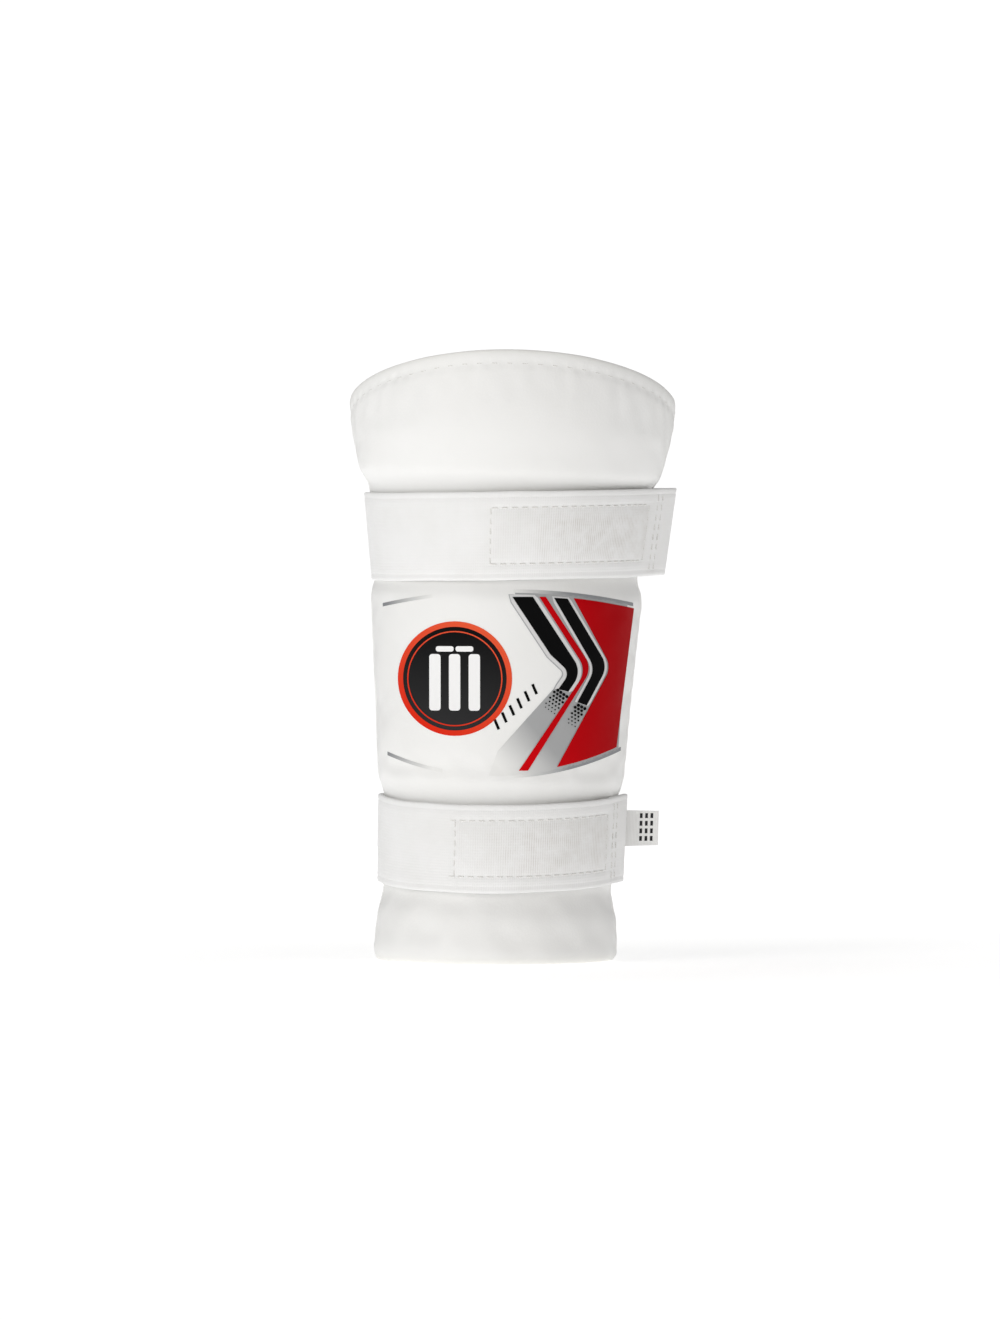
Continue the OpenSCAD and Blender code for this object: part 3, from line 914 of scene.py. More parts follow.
def strapRoute(strap, radius):
    # The tape's middle line seen from above, from its sewn end round the back, over the left edge
    # and across the front to the folded tab, for one radius of the pressed band
    low = strap["band"][1]
    ratio = radius / low
    rear = padShape["rearEdge"]
    anchor = np.stack([np.linspace(radius - 0.6, radius - 10.2, 6), np.full(6, -rear + 0.67)], -1)
    bendAt = np.array([-(low + 1.65) + 3.6, -1.6])
    bow = math.radians(23)
    bendStart = bendAt + 3.6 * np.array([-math.sin(bow), math.cos(bow)])
    start = np.array([low - 11, 1.0])
    chord = start - bendStart
    away = np.array([-math.sin(bow), math.cos(bow)])
    wide = -(chord @ chord) / (2 * (chord @ away))
    middle = bendStart - wide * away
    first = math.degrees(math.atan2(*(start - middle)[::-1]))
    behind = np.concatenate([
        arcLine(middle, wide, first, 90 + 23, 38)[1:],
        arcLine(bendAt, 3.6, 90 + 23, 180, 9)[1:],
        [[bendAt[0] - 3.6, -2.6]],
    ]) * ratio + np.array([0, -rear])
    front = frontLine(radius + 1.45, -81, strap["hinge"] - 1.5, int((79 + strap["hinge"]) / 2.6), 1.92)
    end = frontLine(radius + 3.37, strap["hinge"], strap["hookEnd"],
                    int((strap["hookEnd"] - strap["hinge"]) * 0.92))
    phi, turned = (math.radians(strap["hookEnd"] - k) for k in (0, strap["tabTurn"]))
    outside = radius + 4.02
    base = np.array([outside * math.sin(phi) + 0.6 * math.cos(phi),
                     -outside * math.cos(phi) + 0.6 * math.sin(phi)])
    onward = np.array([math.cos(turned), math.sin(turned)])
    inward = np.array([-math.sin(turned), math.cos(turned)])
    length = strapShape["tabLength"] - strap["tabShort"]
    out = [base + onward * t + inward * 0.65 for t in np.linspace(0.6, length - 1.6, 17)]
    fold = [base + onward * (length - 1.5 + 0.8 * math.sin(a)) + inward * (1.42 - 0.77 * math.cos(a))
            for a in np.radians([10, 35, 60, 90, 120, 145, 170])]
    back = [base + onward * t + inward * 2.19 for t in np.linspace(length - 2.2, 3.2, 13)]
    runs = [anchor, behind, front, end, out, fold, back]
    marks = np.cumsum([0] + [len(run) for run in runs])
    line = np.concatenate(runs)
    # the joints between the stretches are eased, so that the tape flows
    ease = np.ones(len(line))
    ease[marks[5] - 2:] = 0
    ease[:2] = 0
    for _ in range(6):
        middleOf = line.copy()
        middleOf[1:-1] = (line[:-2] + 2 * line[1:-1] + line[2:]) / 4
        line = line + (middleOf - line) * ease[:, None]
    return line, marks


def strapMiddle(strap, x, y):  # world height of the tape's middle line at a place
    front = padFrame["axisY"] - strap["band"][1]
    return (strap["height"] + math.tan(math.radians(strap["pitch"])) * (y - front)
            + math.tan(math.radians(strap["roll"])) * x)


def onBand(strap, low, high, across):
    # points on the route raised by 'across' from the tape's middle, in the pad's own frame
    z = np.full(across.shape, strap["height"])
    bandLow, _, bandHigh, _ = strap["band"]
    for _ in range(4):
        t = (z - bandLow) / (bandHigh - bandLow)
        plan = low[:, None, :] + (high - low)[:, None, :] * t[..., None]
        world = padToWorld(plan[..., 0], plan[..., 1], z)
        z = z + strapMiddle(strap, world[..., 0], world[..., 1]) + across - world[..., 2]
    return plan, z


def sweepBand(strap, low, high, profile, swing=None):
    # rings of world points for a cross profile of (across, outwards) carried along a route; swing
    # may change the profile for each step
    steps = len(low)
    across = np.repeat(profile[None, :, 0], steps, 0)
    out = np.repeat(profile[None, :, 1], steps, 0)
    if swing is not None:
        across, out = swing(across, out)
    plan, z = onBand(strap, low, high, across)
    run = np.gradient(plan, axis=0)
    run /= np.linalg.norm(run, axis=-1, keepdims=True)
    outward = np.stack([-run[..., 1], run[..., 0]], -1) * outwardSign
    plan = plan + outward * out[..., None]
    return padToWorld(plan[..., 0], plan[..., 1], z)


outwardSign = -1.0  # the route runs clockwise round the back and on across the front


def tapeProfile(width, thickness, selvage=True, rows=()):
    half, t = width / 2, thickness / 2
    cuts = {0.0, 5.0, half - 4.5, half - 0.5}
    if selvage:
        cuts |= {strapShape["selvage"] + d for d in (-0.5, 0.0, 0.5)}
    for place in rows:
        cuts |= {place + d for d in (-1.6, -0.8, 0.0, 0.8, 1.6)}
    cuts = sorted(c for c in cuts if c <= half - 0.5)
    side = sorted({-c for c in cuts} | set(cuts))
    face = np.array(side)
    sunk = np.zeros(len(face))
    if selvage:
        sunk = strapShape["selvageDepth"] * (np.abs(np.abs(face) - strapShape["selvage"]) < 0.1)
    top = np.stack([face, t - sunk], -1)
    bottom = np.stack([face[::-1], -t + sunk[::-1]], -1)
    right = np.array([[half - 0.12, t * 0.62], [half, 0], [half - 0.12, -t * 0.62]])
    left = -right
    return np.concatenate([top, right, bottom, left])


def routeLengths(line):
    return np.concatenate([[0], np.cumsum(np.linalg.norm(np.diff(line, axis=0), axis=1))])


def buildStrap(name, strap):
    _, radiusLow, _, radiusHigh = strap["band"]
    low, marks = strapRoute(strap, radiusLow)
    high, _ = strapRoute(strap, radiusHigh)
    lengths = routeLengths((low + high) / 2)
    hingeAt, endAt, tabAt = lengths[marks[3]], lengths[marks[4]], lengths[marks[5]]
    rowPlace = strapShape["quiltRow"]
    profile = tapeProfile(strapShape["width"], strapShape["thickness"], rows=(rowPlace,))

    def quilted(at):  # 1 over the stitched hook patch, else 0
        return smoothStep(hingeAt + 1, hingeAt + 5, at) * smoothStep(endAt + 1, endAt - 2, at)

    def shapeTape(first, last):
        at = lengths[first:last]

        def swing(across, out):
            wave = np.array([noise.noise(Vector((t / 17, strap["height"], 0))) for t in at])
            wave2 = np.array([noise.noise(Vector((t / 23, strap["height"], 9))) for t in at])
            edge = smoothStep(12, 18, np.abs(across))
            shifted = across + edge * np.where(across > 0, wave[:, None], wave2[:, None]) * 0.35
            crown = np.where(out > 0, 1.0, 0.0)
            sewn = quilted(at)[:, None] * crown
            stitch = 0.5 + 0.5 * np.cos(2 * math.pi * at / strapShape["stitchPitch"])[:, None]
            sunk = sewn * dip(np.abs(across) - rowPlace, 0.9) * (0.22 + 0.26 * stitch)
            cross = np.maximum(dip(at - hingeAt - strapShape["boxFrom"], 0.9),
                               dip(at - endAt + strapShape["boxTo"], 0.9))[:, None]
            inside = smoothStep(rowPlace + 1, rowPlace - 0.6, np.abs(across))
            along = 0.5 + 0.5 * np.cos(2 * math.pi * across / strapShape["stitchPitch"])
            sunk = np.maximum(sunk, crown * cross * inside * (0.16 + 0.26 * along))
            firstRow, lastRow = strapShape["tabRows"]
            tab = np.maximum(dip(at - tabAt + firstRow, 0.8), dip(at - tabAt + lastRow, 0.8))[:, None]
            sunk = np.maximum(sunk, crown * tab * smoothStep(17, 15, np.abs(across))
                              * (0.2 + 0.35 * along))
            puff = 0.16 * sewn * smoothStep(rowPlace - 0.8, rowPlace - 4, np.abs(across))
            return shifted, out - sunk + puff

        rings = sweepBand(strap, low[first:last], high[first:last], profile, swing)
        return rings, at

    middleOfBack = (marks[1] + marks[2]) // 2 - 4
    leftFront = marks[2] + 5
    stretches = (("rear_tape", 0, middleOfBack + 1), ("side_tape", middleOfBack, leftFront + 1),
                 ("closing_tape", leftFront, len(low)))
    made = {}
    for part, first, last in stretches:
        rings, at = shapeTape(first, last)
        inside = smoothStep(rowPlace + 1.5, rowPlace - 3.5, np.abs(profile[:, 0]))
        # the hatch runs from a quarter at the hinge to full towards the right end, where the pad turns from the light:
        # the hatch is the tape's pattern, its growth is painted shade
        shown = quilted(at) * (0.25 + 0.75 * smoothStep(hingeAt + 8, hingeAt + 42, at))
        hatchAndShade = shown[:, None] * inside if part == "closing_tape" else np.zeros(rings.shape[:2])
        tape = sweepTape(name + "_" + part, rings, at, wovenElastic, hatchAndShade)
        shadeSmooth(tape, 42)
        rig.slot(tape, "elastic")
        made[part] = tape
    return made, low, high, lengths, marks, profile


def placeOn(strap, low, high, lengths, at, across, out):
    # one point on the tape's route with its three directions, in world mm
    def onRoute(shiftAlong):
        a = np.interp(at + shiftAlong, lengths, np.arange(len(lengths)))
        j = int(min(max(math.floor(a), 0), len(lengths) - 2))
        f = a - j
        lowPoint = (low[j] * (1 - f) + low[j + 1] * f)[None]
        highPoint = (high[j] * (1 - f) + high[j + 1] * f)[None]
        plan, z = onBand(strap, lowPoint, highPoint, np.array([[across]]))
        return plan[0, 0], z[0, 0]

    (here, z), (ahead, zAhead), (before, zBefore) = onRoute(0), onRoute(0.8), onRoute(-0.8)
    run = (ahead - before) / np.linalg.norm(ahead - before)
    outward = np.array([-run[1], run[0]]) * outwardSign
    spot = here + outward * out
    place = padToWorld(spot[0], spot[1], z)
    tip = padToWorld(spot[0] + run[0], spot[1] + run[1], z + (zAhead - zBefore) / 1.6)
    face = padToWorld(spot[0] + outward[0], spot[1] + outward[1], z)
    return place, tip - place, face - place


def sheetOn(name, strap, first, last, offset, width, thickness, material):
    # a patch that follows the pressed band between two angles from the front
    _, radiusLow, _, radiusHigh = strap["band"]
    steps = strapShape["patchSteps"]
    low = frontLine(radiusLow + offset + thickness / 2, first, last, steps)
    high = frontLine(radiusHigh + offset + thickness / 2, first, last, steps)
    profile = tapeProfile(width, thickness, selvage=False)
    rings = sweepBand(strap, low, high, profile)
    patch = sweepTape(name, rings, routeLengths(low), material)
    shadeSmooth(patch, 42)
    return patch, low, high


hookSetup = {"pitch": 1.7, "height": 0.75, "thickness": 0.26}


def makeHooks(name, strap, low, high):
    # rows of little moulded hooks on the inner face of the hook patch
    lengths = routeLengths(low)
    stem = [(0, 0), (0, 0.55), (0.12, 0.85), (0.38, 1.0), (0.6, 0.86)]
    vertices, faces = [], []
    half = strapShape["hookWidth"] / 2 - 2.4
    for n, at in enumerate(np.arange(2.0, lengths[-1] - 1.5, hookSetup["pitch"])):
        for across in np.arange(-half, half + 0.1, hookSetup["pitch"]):
            place, along, up = placeOn(strap, low, high, lengths, at, across, -0.55)
            along, up = Vector(along).normalized(), -Vector(up).normalized()
            side = along.cross(up)
            turn = 1 if n % 2 else -1
            first = len(vertices)
            for reach, rise in stem:
                for dx, dy in ((-1, -1), (1, -1), (1, 1), (-1, 1)):
                    thick = hookSetup["thickness"] * (0.5 - 0.18 * rise)
                    vertices.append((Vector(place) + up * rise * hookSetup["height"]
                                     + along * (turn * reach * hookSetup["height"] + dx * thick)
                                     + side * dy * thick) * mm)
            for k in range(len(stem) - 1):
                for c in range(4):
                    a, b = first + 4 * k + c, first + 4 * k + (c + 1) % 4
                    faces.append((a, b, b + 4, a + 4))
            faces.append([first + 4 * len(stem) - 4 + c for c in range(4)])
            faces.append([first + 3 - c for c in range(4)])
    hooks = meshPiece(name, vertices, faces, hookNylon)
    turnOutwards(hooks)
    return hooks


def sewOnTape(name, strap, low, high, lengths, spots):
    # spots: how far along the route and across it, how high, and whether the stitch is turned
    rows = [placeOn(strap, low, high, lengths, *spot[:3]) for spot in spots]
    alongs = [np.cross(row[1], row[2]) if spot[3] else row[1] for row, spot in zip(rows, spots)]
    return sewRow(name, [row[0] for row in rows], alongs, [row[2] for row in rows])


for name, strap in straps.items():
    bandLow, radiusLow, bandHigh, radiusHigh = strap["band"]
    made, low, high, lengths, marks, profile = buildStrap(name, strap)
    middleHeight = strap["height"]
    radiusHere = (radiusLow + (radiusHigh - radiusLow) * (middleHeight - bandLow)
                  / (bandHigh - bandLow))
    hinge = math.radians(strap["hinge"])
    hingeX = (radiusHere + 4.02) * math.sin(hinge)
    hingeY = -(radiusHere + 4.02) * math.cos(hinge)

    def spot(x, y):
        return tuple(padToWorld(x, y, middleHeight) * mm)

    peel = (spot(hingeX - strapShape["peelFrom"], hingeY), spot(hingeX + strapShape["peelTo"], hingeY))
    pad, rear = "pad", name + "_strap_rear"
    front, end = name + "_strap_front", name + "_strap_free_end"
    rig.blend(made["rear_tape"], pad, rear,
             start=spot(radiusHere - 10.5, -4), end=spot(radiusHere - 22, -4))
    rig.blend(made["side_tape"], rear, front, start=spot(-radiusHere, -3), end=spot(-radiusHere, -17))
    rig.blend(made["closing_tape"], front, end, start=peel[0], end=peel[1])
    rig.replaces(made["rear_tape"], name + "_strap_anchor", name + "_strap_rear_run")
    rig.replaces(made["side_tape"], name + "_strap_rear_run", name + "_strap_front_run")
    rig.replaces(made["closing_tape"], name + "_strap_front_run", name + "_strap_end",
                name + "_pull_tab")

    loop, _, _ = sheetOn(name + "_loop_pile_patch", strap, strap["hinge"] - 18, strap["hookEnd"] + 4,
                         0.1, strapShape["loopWidth"], 0.9, loopPile)
    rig.ride(loop, pad)
    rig.replaces(loop, name + "_loop_patch")
    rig.slot(loop, "loop_pile")

    hook, hookLow, hookHigh = sheetOn(name + "_hook_base", strap, strap["hinge"] + 1,
                                      strap["hookEnd"] - 0.5, 2.05, strapShape["hookWidth"], 0.62,
                                      hookNylon)
    hooks = makeHooks(name + "_hooks", strap, hookLow, hookHigh)
    for piece in (hook, hooks):
        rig.blend(piece, front, end, start=peel[0], end=peel[1])
        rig.replaces(piece, name + "_hook_patch")
        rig.slot(piece, "hook_tape")

    # hook stitching: a long box of stitches through the tape
    pitch, lift = strapShape["stitchPitch"], strapShape["threadLift"]
    hingeAt, endAt, tabAt = lengths[marks[3]], lengths[marks[4]], lengths[marks[5]]
    spots = []
    startAt = math.ceil((hingeAt + 4) / pitch) * pitch - pitch / 2
    for at in np.arange(startAt, endAt - 3, pitch):
        for across in (-strapShape["quiltRow"], strapShape["quiltRow"]):
            spots.append((at, across, lift, False))
    for at in (hingeAt + strapShape["boxFrom"], endAt - strapShape["boxTo"]):
        for across in np.arange(-2.5, 3) * pitch:
            if abs(across) < strapShape["quiltRow"] - 1:
                spots.append((at, across, lift, True))
    sewn = sewOnTape(name + "_hook_thread", strap, low, high, lengths, spots)
    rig.blend(sewn, front, end, start=peel[0], end=peel[1])
    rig.replaces(sewn, name + "_hook_stitching")
    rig.slot(sewn, "thread")

    # tab stitching: two upright rows that hold the folded end
    spots = [(tabAt - back, across, 0.62, True)
             for back in strapShape["tabRows"] for across in np.arange(-3.5, 4) * pitch]
    sewn = sewOnTape(name + "_tab_thread", strap, low, high, lengths, spots)
    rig.ride(sewn, end)
    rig.replaces(sewn, name + "_tab_stitching")
    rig.slot(sewn, "thread")

    # the sewn end on the pad's rear edge: a box of stitches
    spots = [(at, across, lift, True)
             for at in (1.8, 7.6) for across in np.arange(-3.5, 4) * pitch]
    spots += [(4.7, across, lift, False) for across in (-15.4, 15.4)]
    sewn = sewOnTape(name + "_anchor_thread", strap, low, high, lengths, spots)
    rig.ride(sewn, pad)
    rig.replaces(sewn, name + "_anchor_stitching")
    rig.slot(sewn, "thread")
    print(name, "strap laid, sewn and joined")

# printed artwork: flat outlines are cut into small facets and pressed onto the cover

artSetup = {
    "turn": math.radians(4.0),  # the artwork's middle lies this far round towards +X
    "facet": 2.0,
    "film": 0.03,
    "barrelTop": (0.0, 152.6, 240.0),  # x, top height and radius of the two curves round it
    "barrelFoot": (-4.0, 76.8, 122.0),
    "roundel": (-21.9, 116.8, 23.3, 2.2),  # x, height, outer radius and ring width
}


def pressOn(art, layer):
    # facets are pushed straight back onto the pad, then given the film's thickness
    turn = artSetup["turn"]
    acrossAxis = Vector((math.cos(turn), math.sin(turn), 0))
    front = Vector((math.sin(turn), -math.cos(turn), 0))
    flat = points(art) / mm
    placed = []
    lift = (0.05 + 0.055 * layer) * mm
    for a, _, b in flat:
        origin = (acrossAxis * a + Vector((0, 0, b)) + front * 200) * mm
        spot, direction, _, _ = padSurface.ray_cast(origin, -front)
        placed.append(spot + direction * lift if spot else (acrossAxis * a + Vector((0, 0, b))) * mm)
    setPoints(art, placed)
    turnOutwards(art)
    face = art.data.polygons[0]
    if Vector(face.normal).dot(front) < 0:
        art.data.flip_normals()
    finishWith(art, "SOLIDIFY", thickness=artSetup["film"] * mm, offset=1)
    shadeSmooth(art, 50)


def cutIntoFacets(art, step):
    low, high = points(art).min(0) / mm, points(art).max(0) / mm
    pick(art)
    bpy.ops.object.mode_set(mode="EDIT")
    for axis in (0, 2):
        normal = [0, 0, 0]
        normal[axis] = 1
        for cut in np.arange(math.ceil(low[axis] / step) * step, high[axis], step):
            spot = [0, 0, 0]
            spot[axis] = cut * mm
            bpy.ops.mesh.select_all(action="SELECT")
            bpy.ops.mesh.bisect(plane_co=spot, plane_no=normal)
    bpy.ops.mesh.select_all(action="SELECT")
    bpy.ops.mesh.remove_doubles(threshold=0.02 * mm)
    bpy.ops.object.mode_set(mode="OBJECT")


def drawShapes(name, outlines, material, layer):
    # outlines: closed lines of (across, up) in mm; each becomes a flat face
    vertices, faces = [], []
    for outline in outlines:
        first = len(vertices)
        vertices += [(a * mm, 0, b * mm) for a, b in outline]
        faces.append(list(range(first, len(vertices))))
    art = meshPiece(name, vertices, faces, material)
    cutIntoFacets(art, artSetup["facet"])
    pressOn(art, layer)
    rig.ride(art, "pad")
    return art


def roundCorner(a, b, c, radius, count=9):
    a, b, c = (np.array(p, float) for p in (a, b, c))
    u, v = (a - b) / np.linalg.norm(a - b), (c - b) / np.linalg.norm(c - b)
    half = math.acos(np.clip(u @ v, -1, 1)) / 2
    middle = b + (u + v) / np.linalg.norm(u + v) * radius / math.sin(half)
    p, q = b + u * radius / math.tan(half) - middle, b + v * radius / math.tan(half) - middle
    first = math.atan2(p[1], p[0])
    turn = math.atan2(p[0] * q[1] - p[1] * q[0], p @ q)
    return [tuple(middle + radius * np.array([math.cos(first + turn * t), math.sin(first + turn * t)]))
            for t in np.linspace(0, 1, count)]


def evenOut(outline, step=1.6):  # adds points along the straight runs
    out = []
    for (ax, ay), (bx, by) in zip(outline, outline[1:] + outline[:1]):
        parts = max(1, round(math.hypot(bx - ax, by - ay) / step))
        out += [(ax + (bx - ax) * t / parts, ay + (by - ay) * t / parts) for t in range(parts)]
    return out


def grown(outline, amount):  # an outline moved outwards all round
    line = np.array(evenOut(outline))
    ahead, before = np.roll(line, -1, 0), np.roll(line, 1, 0)
    run = ahead - before
    run /= np.linalg.norm(run, axis=1, keepdims=True)
    area = 0.5 * np.sum(line[:, 0] * ahead[:, 1] - ahead[:, 0] * line[:, 1])
    out = np.stack([run[:, 1], -run[:, 0]], -1) * (1 if area > 0 else -1)
    return [tuple(p) for p in line + out * amount]


def barrelTop(a, grow=0.0):
    x, top, radius = artSetup["barrelTop"]
    return top - radius + math.sqrt((radius + grow) ** 2 - (a - x) ** 2)


def barrelFoot(a, grow=0.0):
    x, foot, radius = artSetup["barrelFoot"]
    return foot + radius - math.sqrt((radius + grow) ** 2 - (a - x) ** 2)


def line(a, b, step=1.6):
    parts = max(1, round(math.hypot(b[0] - a[0], b[1] - a[1]) / step))
    return [(a[0] + (b[0] - a[0]) * t / parts, a[1] + (b[1] - a[1]) * t / parts) for t in range(parts)]


topEdge = [(a, barrelTop(a, -0.5)) for a in np.linspace(48.6, 2.2, 30)]
footEdge = [(a, barrelFoot(a, -0.5)) for a in np.linspace(-8, 45.0, 34)]
silverGround = (topEdge + line((2.2, topEdge[-1][1]), (15, 129))
                + roundCorner((15, 129), (24, 119), (-8, 84), 4)
                + line((-4.5, 87.4), footEdge[0]) + footEdge + line(footEdge[-1], topEdge[0]))
wideChevron = ([(1.5, 150), (9.8, 150)] + roundCorner((9.8, 150), (29.6, 119.6), (21.8, 108), 8)
               + [(24.15, 111.5), (20.07, 112.5)]
               + roundCorner((17.6, 109), (24.8, 119.2), (16.9, 126.6), 4)
               + [(16.9, 126.6)])
redStripe = ([(12.4, 150), (15, 150)] + roundCorner((15, 150), (33.9, 121.1), (7.8, 79.4), 8)
             + [(7.8, 79.4), (4.1, 79.4)] + roundCorner((4.1, 79.4), (31.6, 120.1), (12.4, 150), 8))
slimChevron = ([(18.3, 149.6), (23.8, 149.2)]
               + roundCorner((23.8, 149.2), (40.1, 121.8), (29.2, 101.3), 8)
               + [(31.6, 105.8), (27.8, 107.2)]
               + roundCorner((25.5, 102.9), (35.1, 120.7), (18.3, 149.6), 8))
panelTop = [(a, barrelTop(a, -1.7)) for a in np.linspace(51.2, 26.3, 16)]
panelFoot = [(a, barrelFoot(a, -1.7)) for a in np.linspace(19.6, 44.0, 16)]
redPanel = (panelTop + roundCorner(panelTop[-1], (41.7, 121.4), panelFoot[0], 8, 13)
            + panelFoot + line(panelFoot[-1], panelTop[0]))


def dotFade(start, end, widths, rows, size):
    # a staggered run of dots that shrink as the solid print gives way
    start, end = np.array(start, float), np.array(end, float)
    run = (end - start) / np.linalg.norm(end - start)
    side = np.array([run[1], -run[0]])
    pitch = np.linalg.norm(end - start) / rows
    dots = []
    for row in range(rows):
        radius = size * (1 - 0.72 * row / rows)
        count = max(2, round(widths / (2.2 * size)))
        for k in range(count):
            shift = (k - (count - 1) / 2 + 0.25 * (1 if row % 2 else -1)) * 2.2 * size
            centre = start + run * pitch * row + side * shift
            dots.append([tuple(centre + radius * np.array([math.cos(t), math.sin(t)]))
                         for t in np.linspace(0, 2 * math.pi, 8, endpoint=False)])
    return dots


arcLines = []
for rim, first, last in ((barrelTop, -51.5, -31), (barrelTop, 2, 51), (barrelFoot, -49.6, -27),
                         (barrelFoot, 2, 46)):
    reach = np.linspace(first, last, 26)
    arcLines.append([(a, rim(a, 0.5)) for a in reach] + [(a, rim(a, -0.9)) for a in reach[::-1]])
arcFilm = makeTransfer("grey_line_transfer_film", (-50, 0, 0), (-30, 0, 0), "#8b8d90", coverTone)
arcFilmRight = makeTransfer("grey_line_transfer_film_right", (4, 0, 0), (26, 0, 0),
                            coverTone, "#96989b")

print("pressing the prints on")
ground = drawShapes("print_silver", [silverGround], silverFilm, 0)
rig.replaces(ground, "print_silver_ground")
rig.slot(ground, "print_silver")
for title, film, picks in (("print_arcs_left", arcFilm, (0, 2)),
                           ("print_arcs_right", arcFilmRight, (1, 3))):
    arcs = drawShapes(title, [arcLines[k] for k in picks], film, 0)
    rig.replaces(arcs, "print_arc_lines")
    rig.slot(arcs, "print_silver")



def trimmed(outline, foot, slope):  # kept under the top curve and above a chevron's slanting foot
    return [(a, min(max(b, foot[1] + slope * (a - foot[0])), barrelTop(a, -1.6))) for a, b in outline]


wideFoot, slimFoot = ((20.07, 112.4), -0.245), ((27.8, 107.1), -0.37)
outer = drawShapes("print_thin_outline", [trimmed(grown(wideChevron, 1.9), *wideFoot)], outlineFilm, 1)
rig.slot(outer, "print_silver")
pale = drawShapes("print_pale_outlines", [trimmed(grown(wideChevron, 1.45), *wideFoot)], keylineFilm, 2)
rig.slot(pale, "print_silver")
pale2 = drawShapes("print_pale_edges", [trimmed(grown(slimChevron, 1.0), *slimFoot)], keylineFilm, 3)
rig.slot(pale2, "print_silver")

chevronDots = dotFade((21.4, 111.0), (15.6, 103.0), 6.0, 7, 0.68)
slimDots = dotFade((29.2, 105.4), (24.6, 97.0), 4.6, 7, 0.68)
artwork = (
    ("print_wide_chevron_film", "print_wide_chevron", [wideChevron] + chevronDots, blackFilm, 4,
     "print_black"),
    ("print_red_stripe_film", "print_red_stripe", [redStripe], redFilmWithPaintedShade, 4, "print_red"),
    ("print_slim_chevron_film", "print_slim_chevron", [slimChevron] + slimDots, blackFilm, 6,
     "print_black"),
    ("print_red_panel_film", "print_red_panel", [redPanel], redFilmWithPaintedShade, 4, "print_red"),
)
for title, node, shapes, film, layer, slotName in artwork:
    piece = drawShapes(title, shapes, film, layer)
    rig.replaces(piece, node)
    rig.slot(piece, slotName)

ringX, ringZ, ringRadius, ringWidth = artSetup["roundel"]


def circleLine(radius, count=72, first=0.0, last=360.0):
    return [(ringX + radius * math.cos(t), ringZ + radius * math.sin(t))
            for t in np.radians(np.linspace(first, last, count, endpoint=last - first < 360))]


def halfRings(outer, inner):  # a ring drawn as two halves, because a face can't hold a hole
    return [circleLine(outer, 37, first, last - 1e-6) + circleLine(inner, 37, first, last - 1e-6)[::-1]
            for first, last in ((0, 180), (180, 360))]


field = drawShapes("print_roundel_field_film", [circleLine(ringRadius - ringWidth + 0.1)], fieldFilm, 0)
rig.replaces(field, "print_roundel_field")
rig.slot(field, "print_charcoal")
ring = drawShapes("print_roundel_ring_film",
                  halfRings(ringRadius, ringRadius - ringWidth), ringFilm, 1)
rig.replaces(ring, "print_roundel_ring")
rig.slot(ring, "print_orange")
fine = drawShapes("print_roundel_fine_ring", halfRings(ringRadius - 3.9, ringRadius - 4.4),
                  ringFilm, 1)
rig.slot(fine, "print_orange")


def bar(x, z, wide, tall, radius=0.8):
    left, right, foot, top = x - wide / 2, x + wide / 2, z - tall / 2, z + tall / 2
    corners = [(left, foot), (right, foot), (right, top), (left, top)]
    out = []
    for k in range(4):
        out += roundCorner(corners[k - 1], corners[k], corners[(k + 1) % 4], radius, 5)
    return out


stumps = [bar(ringX + (k - 1) * 8.0, ringZ - 1.5, 4.6, 23, 1.2) for k in range(3)]
bails = [bar(ringX + side * 4.0, ringZ + 12.1, 7.2, 2.2, 0.9) for side in (-1, 1)]
wicket = drawShapes("print_wicket_film", stumps + bails, whiteFilm, 2)
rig.replaces(wicket, "print_wicket")
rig.slot(wicket, "print_white")

ticks = []
slant, lean = math.radians(43), math.radians(23)
for k in range(6):
    foot = np.array([-4.5, 96.0]) + 4.2 * k * np.array([math.cos(slant), math.sin(slant)])
    wide = 1.1 * np.array([math.cos(lean), math.sin(lean)])
    tall = 4.4 * np.array([-math.sin(lean), math.cos(lean)])
    ticks.append([tuple(foot), tuple(foot + wide), tuple(foot + wide + tall), tuple(foot + tall)])
marksFilm = drawShapes("print_ticks_film", ticks, blackFilm, 1)
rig.replaces(marksFilm, "print_ticks")
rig.slot(marksFilm, "print_black")
print("prints pressed on")

# seams: a folded ridge beside each rear edge and the closing row at the top

seamSetup = {"setIn": 8.6, "width": 1.7, "height": 0.85, "stitchPitch": 6.2}


def padSpot(x, y, z):  # where a line from the pad's axis meets the cover, with its direction
    start = Vector(padToWorld(np.float64(x) * 2.5, np.float64(y) * 2.5, np.float64(z))) * mm
    goal = Vector(padToWorld(np.float64(0), np.float64(0), np.float64(z))) * mm
    spot, direction, _, _ = padSurface.ray_cast(start, (goal - start).normalized())
    return (spot / mm, direction) if spot else (None, None)


